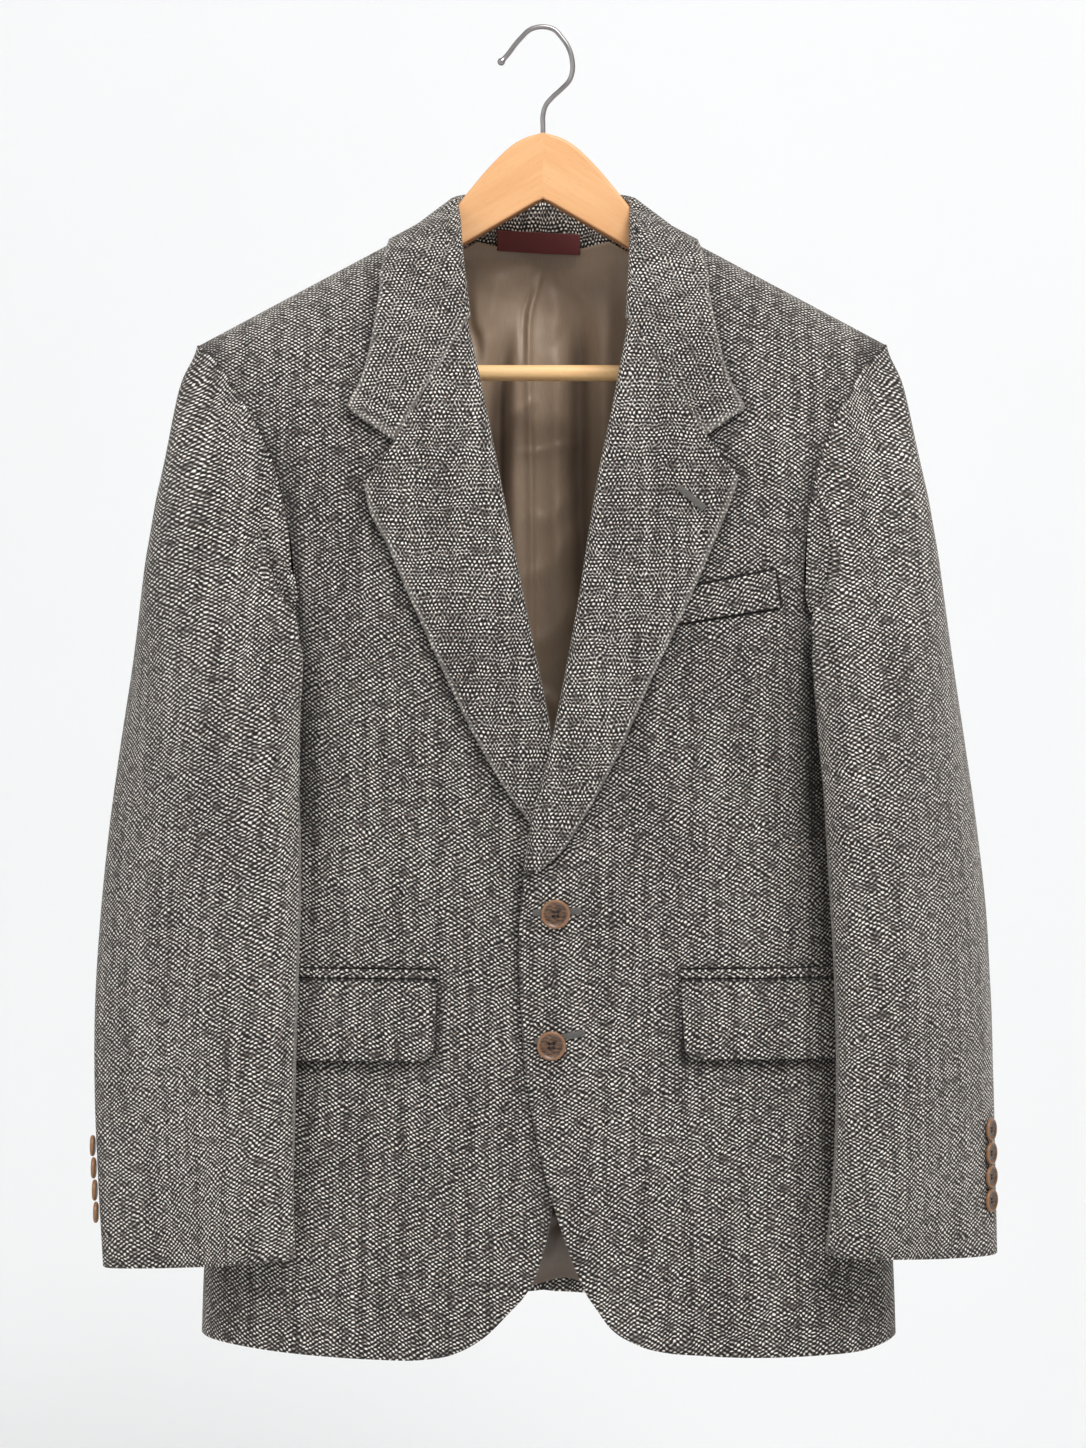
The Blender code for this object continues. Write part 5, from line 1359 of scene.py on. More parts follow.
def sleeve_places(grid, hung, side, facing):
    """Places in a sleeve's flat cut: round its ring from the front, and along it."""
    rows = SLEEVE[side]
    z = grid[..., 2]
    outer, inner = smooth(rows, 1, z), smooth(rows, 2, z)
    wide, off_centre = (outer - inner) / 2, side * hung[..., 0] - (outer + inner) / 2
    turn = np.arctan2(off_centre / wide, (smooth(rows, 5, z) - hung[..., 1]) / RING_DEPTH)
    turn = facing + (turn - facing + math.pi) % (2 * math.pi) - math.pi
    size = (wide + RING_DEPTH) / 2
    middle = (turn[:, 1:] + turn[:, :-1]) / 2
    arc = np.linalg.norm(np.diff(grid, axis=1), axis=-1)
    swept = np.abs(np.diff(turn, axis=1)) * (size[:, 1:] + size[:, :-1]) / 2
    low = z[:, 1:] < MEASURED_BELOW
    bins = np.linspace(facing - math.pi, facing + math.pi, RING_PARTS + 1)
    total, share = (np.histogram(middle[low], bins, weights=part[low])[0] for part in (arc, swept))
    used = np.flatnonzero(share > 1.0)
    rate = np.interp(np.arange(RING_PARTS), used, total[used] / share[used])
    for _ in range(3):
        wider = np.pad(rate, 1, "edge")
        rate = (wider[:-2] + 2 * rate + wider[2:]) / 4
    run = np.concatenate([[0.0], np.cumsum(rate * (bins[1] - bins[0]))])
    start = np.interp(facing, bins, run)
    round_it = size * (np.interp(turn, bins, run) - start)
    flat = size * (np.interp(0.0, bins, run) - start) + off_centre
    u = mix(round_it, flat, ramp(z, *FLAT_HEIGHTS) * ramp(-turn, 0.0, 0.5) * (1 - ramp(-turn, 1.5, 2.0)))
    step = np.linalg.norm(np.diff(grid, axis=0), axis=-1) ** 2 - np.diff(u, axis=0) ** 2
    step = np.sqrt(np.maximum(step, np.diff(z, axis=0) ** 2))
    v = z[-1] + np.concatenate([np.cumsum(step[::-1], axis=0)[::-1], np.zeros((1, z.shape[1]))])
    return np.stack([side * u, mix(v, z, ramp(z, *UPRIGHT_HEIGHTS))], -1)


# Each part's middle, as an angle back from the front, and its CAD nodes.
SLEEVE_PARTS = (("top", math.pi / 2, ("top", "top_lower")), ("under", -math.pi / 2, ("under",)))

sleeve_tweed = tweed("tweed of the sleeves", BIRDSEYE, -0.2)
for side, name in SIDES:
    for part, facing, nodes in SLEEVE_PARTS:
        outer, inner = sleeve_wall(side, *sleeve_grid(side, part))
        plain, wall = eased_head(finer(outer, 5), finer(inner, 5))
        outer, inner = hung_over(plain, wall, side)
        places = sleeve_places(plain, outer, side, facing)
        piece = shell(f"cloth_sleeve_{part}_{name}", outer, inner, places)
        dress(piece, sleeve_tweed, outer, tuple(f"sleeve_{node}_{name}" for node in nodes))

# -------------------- pockets
# Straight flap pockets, each flap lined and pressed and hanging from under a narrow jet,
# and a slanting welt on the left breast.

FLAP_TOP = -656.5
FLAP_OUTER = math.radians(72)
# Inner edge's x and lower edge's height.
FLAP = {1: (94.5, -711.5), -1: (-73.0, -712.5)}
FLAP_THICKNESS = 2.0
FLAP_GAP = 0.85
JET_THICKNESS = 1.5
JET_HEIGHT = 4.6
JET_OVERHANG = 1.2
FLAP_BELOW_JET = 1.8
FLAP_LIFT = 3.6
FLAP_CORNER = 9.0
# Share of painted shade along the flap's top, where the jet shades it.
FLAP_PAINTED_SHADE = 0.8
# Upper and lower edge of the welt, each from its inner to its outer end.
WELT = np.array([((104.0, -391.0), (157.5, -380.0)), ((92.0, -415.5), (161.0, -404.0))])
POCKET_CUT = (3.7, 1.3)


def on_trunk(side, angle, z, out):
    """A point on the front at a ring angle and height, moved out."""
    x = smooth(TRUNK, 2, z) + side * smooth(TRUNK, 1, z) * np.sin(angle)
    return np.stack([x + side * out * np.abs(np.sin(angle)) ** 4,
                     surface_y(x, z, "front", side, out), z + 0 * x], -1)


def patch(name, side, angle, z, near, far, lift=0.0):
    """A piece of tweed that lies on a front, and its outer face; its foot may lift off."""
    outer = on_trunk(side, angle, z, far)
    inner = on_trunk(side, angle, z, near)
    for face in (outer, inner):
        face[..., 1] -= lift * ramp(np.linspace(0, 1, len(z)), 0.3, 1.0)[:, None]
    places = cut_places(outer) + np.array([side, 1]) * POCKET_CUT
    return shell(name, outer, inner, places), outer


for side, name in SIDES:
    inner_x, bottom = FLAP[side]
    inner = float(ring_angle(inner_x, FLAP_TOP, side, "front"))
    angle, z = np.meshgrid(np.linspace(inner - JET_OVERHANG / TRUNK_RADIUS, FLAP_OUTER, 60),
                           FLAP_TOP + SEAM_GAP + np.linspace(JET_HEIGHT, 0.0, 7))
    jet, _ = patch(f"cloth_jet_{name}", side, angle, z, FLAP_GAP, FLAP_GAP + JET_THICKNESS)
    dress(jet, body_tweed)
    u, z = np.meshgrid(np.linspace(0, 1, 60), np.linspace(FLAP_TOP - FLAP_BELOW_JET, bottom, 46))
    drop = np.clip(FLAP_CORNER - (z - bottom), 0, FLAP_CORNER)
    cut_in = FLAP_CORNER - np.sqrt(FLAP_CORNER ** 2 - drop ** 2)
    angle = mix(inner + cut_in / TRUNK_RADIUS, FLAP_OUTER, u)
    piece, outer = patch(f"cloth_flap_{name}", side, angle, z, FLAP_GAP, FLAP_GAP + FLAP_THICKNESS, FLAP_LIFT)
    # Painted shade on the flap's top rows, under the jet.
    shade_under_jet = FLAP_PAINTED_SHADE * (1 - ramp(np.arange(len(z)), 0.0, 1.6))
    mark(piece, "painted_shade", np.broadcast_to(shade_under_jet[:, None], z.shape))
    dress(piece, body_tweed, outer)

u, v = np.meshgrid(np.linspace(0, 1, 40), np.linspace(0, 1, 16))
x, z = np.moveaxis(mix(*(mix(edge[0], edge[1], u[..., None]) for edge in WELT), v[..., None]), -1, 0)
outer, inner = (np.stack([x, surface_y(x, z, "front", 1, out), z], -1)
                for out in (SEAM_GAP + WELT_THICKNESS, SEAM_GAP))
piece = shell("cloth_chest_welt", outer, inner, flat_places(outer, 12.0))
dress(piece, body_tweed, outer)

# -------------------- lining and label
# A taupe satin lining with a pleat down the centre back, sewn to the neck seam and above
# the hem, and a bare woven tape across the neck seam.

LINING = 1.1
LINING_GAP = (0.95, 3.4)
LINING_SEWN = 0.03
LINING_HALF_WIDTH = 166.0
# The lower edge above the hem, and how much higher it arches at an x over a half width.
LINING_ABOVE_HEM = 4.0
LINING_ARCH = (6.0, 16.0, 15.0)
LINING_LIFT = 14.0
NECK_FOOT = ((0.0, 28.0, 52.0, 60.0), (-147.6, -146.0, -141.0, -137.0))
PLEAT = {"x": -9.0, "lean": 0.02, "half_width": 7.0, "depth": 1.5}
LINING_CREASES = (
    # half width, depth forwards, how sharp one side is, points of x and height
    (3.0, 4.0, 0.7, ((3, -150), (-3, -170), (-9, -194), (-9.6, -226), (-8, -300), (-7, -420), (-6, -520))),
    (2.6, -3.0, 0.0, ((-5.5, -170), (-13, -192), (-14, -240))),
    (8.5, -15.0, 0.5, ((-20, -196), (-29, -236), (-31, -300), (-30, -380), (-31, -470), (-34, -560))),
    (6.0, 5.0, 0.0, ((-38, -180), (-44, -240), (-45, -330), (-42, -440), (-46, -560))),
    (7.0, 4.0, 0.0, ((-14, -180), (-19, -230), (-20, -330), (-19, -460))),
    (11.0, -13.0, 0.0, ((15, -166), (25, -208), (26, -260), (26, -330), (30, -420), (24, -540))),
    (8.0, 5.0, 0.0, ((46, -160), (42, -230), (44, -320), (42, -420))),
    (7.0, 4.0, 0.0, ((6, -200), (12, -250), (11, -340), (12, -430))),
    (6.0, -5.0, 0.4, ((-55, -160), (-53, -196), (-47, -214), (-44, -250))),
    (6.0, 2.4, 0.3, ((-1, -166), (10, -190), (4, -218))),
    (7.0, 1.2, 0.0, ((-38, -178), (-25, -168), (-13, -160), (0, -153))),
    (6.0, 1.2, 0.2, ((-60, -154), (-50, -158), (-42, -164), (-34, -176))),
    (5.0, 1.8, 0.2, ((-28, -160), (-35, -182), (-38, -208))),
    (5.0, 1.8, 0.0, ((3, -154), (12, -165), (24, -174), (34, -190))),
    (4.0, 1.6, 0.3, ((-24, -270), (-13, -259), (-3, -250))),
    (4.0, 1.2, 0.5, ((-30, -292), (-4, -290), (12, -286), (32, -280))),
    (7.0, 1.5, 0.4, ((-16, -330), (0, -338), (16, -324), (34, -292))),
    (8.0, 2.0, 0.4, ((-24, -384), (0, -374), (16, -356), (32, -322))),
    (8.0, 1.7, 0.3, ((-24, -430), (0, -424), (16, -408), (30, -384))),
    (5.0, 3.0, 0.3, ((-30, -470), (-10, -462), (8, -470), (24, -490))),
    (6.0, 4.0, 0.3, ((-2, -856), (8, -862), (16, -842), (24, -862), (34, -868))),
    (6.0, 3.6, 0.2, ((-20, -826), (-6, -840), (6, -832), (16, -846))),
)
SATIN_DARK = rgb(126, 106, 88)
SATIN_LIGHT = rgb(180, 157, 134)
SATIN_HOLLOW = rgb(46, 33, 25)


def drawn_folds(x, z, folds):
    """Depth of folds along drawn lines, steeper on one side where they are sharp."""
    total = np.zeros(x.shape)
    for width, depth, sharp, points in folds:
        line = np.array(points, float)
        keys = np.arange(len(line), dtype=float)
        at = np.linspace(0, len(line) - 1, 24 * len(line))
        table = np.column_stack([keys, line])
        run = np.stack([smooth(table, 1, at), smooth(table, 2, at)], -1)
        near = np.full(x.shape, 1e9)
        share, turned = np.zeros(x.shape), np.zeros(x.shape)
        for k in range(len(run) - 1):
            way = run[k + 1] - run[k]
            t = np.clip(((x - run[k, 0]) * way[0] + (z - run[k, 1]) * way[1]) / (way @ way), 0, 1)
            dx, dz = x - run[k, 0] - t * way[0], z - run[k, 1] - t * way[1]
            reach = np.hypot(dx, dz)
            closer = reach < near
            near = np.where(closer, reach, near)
            share = np.where(closer, (k + t) / (len(run) - 1), share)
            turned = np.where(closer, np.sign(way[0] * dz - way[1] * dx), turned)
        ends = ramp(share, 0.0, 0.34) * (1 - ramp(share, 0.66, 1.0))
        spread = np.where(turned > 0, width * (1 - 0.65 * sharp), width * (1 + 0.5 * sharp))
        total = total + depth * ends * np.exp(-(near / spread) ** 2)
    return total


def satin(name):
    """Lining satin: a fine smooth weave with a soft shine and pressed creases."""
    shader = Shader(name, {"Specular IOR Level": 0.45, "Sheen Weight": 0.12,
                           "Sheen Roughness": 0.35, "Anisotropic": 0.4})
    place = shader.place()
    cloud = shader.noise(place, 9.0, 3.0, 0.6)
    thread = shader.stretched(place, 0.06, 1900.0, 2.0, 0.6)
    colour = shader.blend(cloud * 0.4 + thread * 0.4 + 0.1, SATIN_DARK, SATIN_LIGHT)
    # Painted shade from the stored hollow: deep folds and the foot in the hem's gap.
    colour = shader.blend(shader.stored("hollow"), colour, SATIN_HOLLOW)
    soft = shader.stretched(place, 0.45, 34.0, 3.0, 0.55)
    return shader.finish(soft * 2.0 + thread * 0.12, 0.0006, 1.0, Base_Color=colour,
                         Roughness=cloud * 0.12 + 0.36)


SEAM_SHARE = LINING_SEWN / 2
x = spaced_rows([(-LINING_HALF_WIDTH, -64, 21), (-64, 64, 107), (64, LINING_HALF_WIDTH, 21)])
along = spaced_rows([(0, SEAM_SHARE, 5), (SEAM_SHARE, 0.42, 169), (0.42, 0.86, 59),
                     (0.86, 1 - SEAM_SHARE, 39), (1 - SEAM_SHARE, 1, 5)])
grid_x, grid_v = np.meshgrid(x, along)
foot = np.interp(np.abs(grid_x), *NECK_FOOT)
rise, arch_x, arch_width = LINING_ARCH
above = LINING_ABOVE_HEM + rise * np.exp(-((grid_x - arch_x) / arch_width) ** 2)
z = mix(np.minimum(foot, shoulder_height(grid_x) - 26), hem_height(grid_x, "back", 1) + above, grid_v)
free = ramp(np.minimum(grid_v, 1 - grid_v), 0.0, LINING_SEWN)
y = surface_y(grid_x, z, "back", 1, -TWEED) - mix(*LINING_GAP, free)
pleat_x = PLEAT["x"] + PLEAT["lean"] * (z - foot)
y = y - PLEAT["depth"] * np.exp(-((grid_x - pleat_x) / PLEAT["half_width"]) ** 2) * free
lift = LINING_LIFT * ramp(grid_v, 0.0, 0.12) * ramp(1 - grid_v, 0.0, 0.05)
folds = np.maximum(drawn_folds(grid_x, z, LINING_CREASES) * free, -lift)
face = np.stack([grid_x, y - lift - folds, z], -1)
piece = shell("cloth_lining_back", face, face - np.array([0, LINING, 0]), np.stack([grid_x, z], -1))
# Painted shade: deep folds lie in shade, and so does the foot, which shows in the gap of the hem.
hollow = 0.66 * ramp(-folds, 3.0, 13.0) * ramp(-z, 165.0, 220.0)
low = 0.86 * ramp(-z, 720.0, 780.0) * (1 - 0.22 * ramp(-z, 855.0, 885.0))
mark(piece, "hollow", np.maximum(hollow, low))
dress(piece, satin("lining satin"), face)


def tape(name):
    """Label tape: a close woven maroon ribbon with fine cross ribs."""
    shader = Shader(name, {"Roughness": 0.7, "Sheen Weight": 0.15, "Specular IOR Level": 0.3})
    _, v, _ = shader.split(shader.place())
    rib = shader.math("SINE", v * (2 * math.pi / 0.00055)) * 0.5 + 0.5
    speck = shader.noise(shader.place(), 2400.0, 2.0, 0.6)
    colour = shader.blend(rib * 0.35 + speck * 0.6, rgb(72, 26, 28), rgb(134, 66, 64))
    return shader.finish(rib * 0.6 + speck * 0.6, 0.0002, 0.8, Base_Color=colour)


# The label's ends, edges and thickness.  It follows the round of the neck, leans back
# and hangs a little askew.
LABEL_X = (-32.5, 26.0)
LABEL_Z = (-134.5, -149.0)
LABEL_THICKNESS = 0.9
LABEL_ROUND = 6.5
LABEL_LEAN = 0.12
LABEL_ASKEW = 0.05

grid_x, grid_z = np.meshgrid(np.linspace(*LABEL_X, 60), np.linspace(*LABEL_Z, 18))
y = 42.0 - LABEL_ROUND * (grid_x / 60) ** 2 + LABEL_LEAN * (grid_z + 140)
face = np.stack([grid_x, y, grid_z - LABEL_ASKEW * grid_x], -1)
piece = shell("cloth_label", face, face + np.array([0, LABEL_THICKNESS, 0]), np.stack([grid_x, grid_z], -1))
dress(piece, tape("label tape"), face)

# -------------------- buttons
# Turned horn buttons with a raised rim: two with four holes down the front and four
# smaller ones that touch on each cuff, all sewn with dark thread.

# Radius, thickness, thread holes' radius and how far they lie from the middle.
FRONT_BUTTON = (9.9, 3.6, 1.0, 2.0)
FRONT_BUTTON_PLACES = ((8.5, -612.5), (5.7, -701.7))
CUFF_BUTTON = {1: (7.9, 3.0, 0.8, 1.5), -1: (7.35, 3.0, 0.8, 1.5)}
# Angle behind the back seam, distance from one to the next and height of the lowest.
CUFF_BUTTON_ROW = {1: (math.radians(7), 16.2, -813.0), -1: (math.radians(15), 15.1, -821.0)}
CUFF_BUTTON_OFF = 1.0
BUTTON_FLOOR = 0.65
THREAD_HOLE_DEPTH = 0.5
# Share of the radius and of the thickness, from the back over the rim to the floor.
BUTTON_PROFILE = ((0.0, 0.0), (0.55, 0.0), (0.72, 0.02), (0.9, 0.16), (0.97, 0.34), (1.0, 0.55),
                  (0.985, 0.78), (0.95, 0.93), (0.9, 1.0), (0.85, 0.97), (0.79, 0.84), (0.72, 0.73),
                  (0.6, 0.67), (0.0, 0.65))


def facing_axes(facing):
    """Right, up and outward directions of a piece that faces one way."""
    facing = unit(np.array(facing, float))
    right = unit(np.cross((0, 0, 1.0), facing))
    return right, np.cross(facing, right), facing


def ring_faces(rings, sides):
    """Four-sided faces between each ring of points and the next."""
    index = np.arange(rings * sides).reshape(rings, sides)
    after = np.roll(index, -1, axis=1)
    return np.stack([index[:-1], after[:-1], after[1:], index[1:]], -1).reshape(-1, 4).tolist()


def turned_button(name, size, foot, facing):
    """A button from its profile, with thread holes sunk in its face."""
    radius, thickness, hole, offset = size
    share = np.concatenate([[p[0] for p in BUTTON_PROFILE[1:-1]], np.linspace(0.6, 0.0, 26)[1:-1]])
    height = np.concatenate([[p[1] for p in BUTTON_PROFILE[1:-1]], np.linspace(0.67, 0.65, 26)[1:-1]])
    turns = np.linspace(0, 2 * math.pi, 73)[:-1]
    r = radius * share[:, None]
    px, py = r * np.cos(turns), r * np.sin(turns)
    pz = np.broadcast_to(height[:, None] * thickness, px.shape).copy()
    inside = (np.arange(len(share)) >= len(BUTTON_PROFILE) - 2)[:, None]
    for k in range(4):
        at = math.radians(45 + 90 * k)
        reach = np.hypot(px - offset * math.cos(at), py - offset * math.sin(at))
        pz -= inside * thickness * THREAD_HOLE_DEPTH * (1 - ramp(reach, hole * 0.7, hole * 1.2))
    local = np.stack([px, py, pz], -1).reshape(-1, 3)
    local = np.concatenate([local, [[0, 0, 0], [0, 0, BUTTON_FLOOR * thickness]]])
    rings, sides = px.shape
    back, front = rings * sides, rings * sides + 1
    faces = ring_faces(rings, sides)
    faces += [[back, (k + 1) % sides, k] for k in range(sides)]
    last = back - sides
    faces += [[front, last + k, last + (k + 1) % sides] for k in range(sides)]
    return solid(name, np.array(foot) + local @ np.array(facing_axes(facing)), faces,
                 local[:, :2] / (radius * MM))


def horn(name):
    """Brown horn: streaked and clouded, darker in the middle, with a lighter rim."""
    shader = Shader(name, {"Specular IOR Level": 0.5, "Coat Roughness": 0.2, "Coat Weight": 0.15})
    place = shader.place()
    reach = shader.node("ShaderNodeVectorMath", {"operation": "LENGTH"}, {0: place}, "Value")
    grain = shader.stretched(place, 3.2, 2.6, 4.0, 0.6)
    fine = shader.noise(place, 26.0, 3.0, 0.6)
    colour = shader.blend(shader.step(grain, 0.32, 0.68), rgb(44, 30, 22), rgb(112, 82, 60))
    colour = shader.blend(shader.step(reach, 0.7, 0.93) * 0.75, colour, rgb(156, 112, 76))
    return shader.finish(fine, 0.0001, 0.5, Base_Color=colour, Roughness=fine * 0.2 + 0.28)


def thread(name, dark, light):
    """Twisted silk thread: fine slanting plies with a slight sheen."""
    shader = Shader(name, {"Roughness": 0.6, "Sheen Weight": 0.2, "Specular IOR Level": 0.3})
    spot = shader.node("ShaderNodeTexCoord", {}, {}, "Object")
    ply = shader.node("ShaderNodeTexNoise", {}, {"Vector": spot, "Scale": 2400.0, "Detail": 2.0})
    return shader.finish(ply, 0.0001, 0.8, Base_Color=shader.blend(ply, dark, light))


def stitch_tree():
    """Geometry nodes for a row of bent threads that lie across a line."""
    tree = bpy.data.node_groups.new("row of stitches", "GeometryNodeTree")
    tree.interface.new_socket("Line", in_out="INPUT", socket_type="NodeSocketGeometry")
    for label, kind in (("Pitch", "Float"), ("Reach", "Float"), ("Thread", "Float"), ("Rise", "Float"),
                        ("Facing", "Vector"), ("Finish", "Material")):
        tree.interface.new_socket(label, in_out="INPUT", socket_type=f"NodeSocket{kind}")
    tree.interface.new_socket("Stitches", in_out="OUTPUT", socket_type="NodeSocketGeometry")
    given = tree.nodes.new("NodeGroupInput")

    def add(kind, settings, values, output=0):
        return add_node(tree, kind, settings, values).outputs[output]

    line = add("GeometryNodeMeshToCurve", {}, {"Mesh": given.outputs["Line"]})
    line = add("GeometryNodeResampleCurve", {"mode": "LENGTH"},
               {"Curve": line, "Length": given.outputs["Pitch"]})
    back = add("ShaderNodeMath", {"operation": "MULTIPLY"}, {0: given.outputs["Reach"], 1: -1.0})
    bent = add("GeometryNodeCurveQuadraticBezier", {}, {
        "Resolution": 6, "Start": add("ShaderNodeCombineXYZ", {}, {"X": back}),
        "Middle": add("ShaderNodeCombineXYZ", {}, {"Z": given.outputs["Rise"]}),
        "End": add("ShaderNodeCombineXYZ", {}, {"X": given.outputs["Reach"]})})
    ring = add("GeometryNodeCurvePrimitiveCircle", {}, {"Resolution": 7, "Radius": given.outputs["Thread"]})
    stitch = add("GeometryNodeCurveToMesh", {}, {"Curve": bent, "Profile Curve": ring, "Fill Caps": True})
    turn = add("FunctionNodeAlignRotationToVector", {"axis": "Z"}, {"Vector": given.outputs["Facing"]})
    turn = add("FunctionNodeAlignRotationToVector", {"axis": "Y", "pivot_axis": "Z"},
               {"Rotation": turn, "Vector": add("GeometryNodeInputTangent", {}, {})})
    size = add("FunctionNodeRandomValue", {"data_type": "FLOAT"}, {2: 0.88, 3: 1.1, "Seed": 7}, 1)
    rows = add("GeometryNodeInstanceOnPoints", {},
               {"Points": line, "Instance": stitch, "Rotation": turn, "Scale": size})
    rows = add("GeometryNodeRealizeInstances", {}, {"Geometry": rows})
    rows = add("GeometryNodeSetMaterial", {}, {"Geometry": rows, "Material": given.outputs["Finish"]})
    done = tree.nodes.new("NodeGroupOutput")
    tree.links.new(rows, done.inputs[0])
    return tree


button_thread = thread("dark button thread", rgb(22, 19, 18), rgb(52, 46, 42))
hole_thread = thread("grey buttonhole thread", rgb(66, 64, 62), rgb(120, 117, 113))
stitches = stitch_tree()


def sewn_row(name, lines, facing, pitch, reach, thick, rise, finish):
    """A plain mesh of stitches along lines of points, each line with as many points."""
    lines = np.array(lines, float) * MM
    rows, count = lines.shape[:2]
    edges = [(start + k, start + k + 1) for start in range(0, rows * count, count) for k in range(count - 1)]
    mesh = bpy.data.meshes.new(name)
    mesh.from_pydata(lines.reshape(-1, 3).tolist(), edges, [])
    guide = placed(name + "_line", mesh)
    live = guide.modifiers.new("stitches", "NODES")
    live.node_group = stitches
    given = {"Pitch": pitch * MM, "Reach": reach * MM, "Thread": thick * MM, "Rise": rise * MM,
             "Facing": tuple(facing), "Finish": finish}
    for item in stitches.interface.items_tree:
        if item.name in given and item.in_out == "INPUT":
            live[item.identifier] = given[item.name]
    graph = bpy.context.evaluated_depsgraph_get()
    made = bpy.data.meshes.new_from_object(guide.evaluated_get(graph))
    bpy.data.objects.remove(guide)
    # Realized stitches carry an empty material slot in front of the thread's own.
    made.materials.clear()
    made.materials.append(finish)
    made.name = name
    made.shade_smooth()
    return placed(name, made)


def sewn_button(name, size, foot, facing):
    """A horn button and the two rows of thread that cross its face between the holes."""
    piece = turned_button(f"horn_button_{name}", size, foot, facing)
    dress(piece, horn_brown, node=f"button_{name}")
    _, thickness, _, offset = size
    _, up, facing = facing_axes(facing)
    middle = np.array(foot, float) + facing * (BUTTON_FLOOR * thickness - 0.1)
    apart = offset * 0.7
    lines = [[middle + up * (apart * way + end) for end in (-0.4, 0.4)] for way in (-1, 1)]
    piece = sewn_row(f"thread_{name}", lines, facing, 0.38, apart, 0.2, 0.7, button_thread)
    dress(piece, None, node=f"button_{name}")


horn_brown = horn("brown horn")
for number, (x, z) in enumerate(FRONT_BUTTON_PLACES, 1):
    reach = np.linspace(-1, 1, 5) * FRONT_BUTTON[0]
    y = float(np.min(surface_y(x + reach, z, "front", 1))) - 0.5
    sewn_button(f"front_{number}", FRONT_BUTTON, (x, y, z), (0, -1, 0))
for side, name in SIDES:
    turn, pitch, lowest = CUFF_BUTTON_ROW[side]
    around = BACK_SEAM_CUFF[side] + turn
    for number in range(1, 5):
        z = lowest + pitch * (4 - number)
        along = (SHOULDER_Z[1] - z) / (SHOULDER_Z[1] - CUFF[side][1])
        du = sleeve_point(side, around + 0.05, along) - sleeve_point(side, around - 0.05, along)
        normal = unit(np.cross(du, (0, 0, 1.0)))
        normal *= np.sign(normal[0] * side) or 1
        foot = sleeve_point(side, around, along) + normal * CUFF_BUTTON_OFF
        sewn_button(f"cuff_{name}_{number}", CUFF_BUTTON[side], foot, normal)

# -------------------- buttonholes
# Worked buttonholes: a slit whipped over with close grey thread, one in the left lapel and
# two down the left front behind the buttons.

# Lines of x and height.
LAPEL_HOLE = ((91.5, -323.5), (97.5, -328.5), (103.5, -333.5), (109.0, -338.3))
FRONT_HOLES = (((-6.5, -611.6), (9.0, -611.0), (25.4, -610.4)),
               ((-5.0, -698.6), (12.0, -696.2), (28.0, -693.0)))
# How far the stitches stand before the lapel and the front.
LAPEL_HOLE_OUT = 2.1
FRONT_HOLE_OUT = 1.1
# Pitch, half length, thickness and rise of the stitches.
HOLE_STITCH = (0.5, 2.2, 0.27, 0.6)


def nearest_y(grid, x, z):
    """Depth of a sheet's face at a place, from the points of its grid around it."""
    reach = (grid[..., 0] - x) ** 2 + (grid[..., 2] - z) ** 2 + 1e-6
    near = np.argsort(reach, axis=None)[:4]
    return float(np.average(grid[..., 1].ravel()[near], weights=1 / reach.ravel()[near]))


def buttonhole(name, path, node):
    """One worked buttonhole along a path, on the face of the piece it is cut in."""
    piece = sewn_row(name, [path], (0, -1, 0), *HOLE_STITCH, hole_thread)
    dress(piece, None, node=node)


path = [(x, nearest_y(lapel_face[1], x, z) - LAPEL_HOLE_OUT, z) for x, z in LAPEL_HOLE]
buttonhole("thread_lapel_hole", path, "lapel_left")
for number, hole in enumerate(FRONT_HOLES, 1):
    path = [(x, float(surface_y(x, z, "front", 1)) - FRONT_HOLE_OUT, z) for x, z in hole]
    buttonhole(f"thread_front_hole_{number}", path, "front_left")

# -------------------- hanger
# Two arms of pale wood meet at a mitre under the hook, with a round bar between them.
# The hook is one bent steel wire with a rounded tip.

WOOD_THICKNESS = 13.0
WOOD_TOP = ((0.0, -71.0), (9.0, -71.8), (18.0, -76.0), (26.5, -83.0), (34.0, -91.0),
            (41.0, -98.0), (48.0, -107.0), (55.5, -116.0), (62.5, -125.5), (74.0, -136.8))
WOOD_ARM_END = 214.0
WOOD_BELOW_SHOULDER = 6.0
# The lower edge: its height at the middle and how far it falls over each mm along.
WOOD_FOOT = -117.0
WOOD_FALL = -35.5 / 61.0
BAR_Z = -238.4
BAR_RADIUS = 5.6
BAR_HALF = 178.7
BAR_EASED = 0.8
# The lobe at each arm's end that holds the bar: inner and outer x, and its foot.
LOBE = (179.0, 207.0, -249.0)
HOOK_RADIUS = 1.75
HOOK_PATH = (
    # x, z: tip, bend over the top and down to the stem
    (-29.2, -20.5), (-24.0, -14.6), (-20.5, -9.8), (-15.2, -3.6), (-9.0, 2.0), (0.0, 4.0),
    (7.5, 2.2), (13.3, -3.8), (17.8, -10.5), (20.4, -19.0), (20.6, -27.0), (18.5, -33.5),
    (13.0, -39.5), (7.0, -45.0), (2.0, -51.0), (0.0, -58.0), (0.0, -66.0), (0.0, -92.0),
)
HOOK_BALL = 2.7
ARM_DARK = rgb(221, 163, 110)
ARM_LIGHT = rgb(231, 179, 128)
# The bar's wood is painted paler than the arms' (painted light), for the shade that it hangs in inside the
# jacket.
BAR_DARK = rgb(255, 200, 138)
BAR_LIGHT = rgb(255, 214, 154)
# How far the wood's edges are rounded over, and the grain's slant along the arms.
EASED = 2.4
ARM_SLANT = -31.0


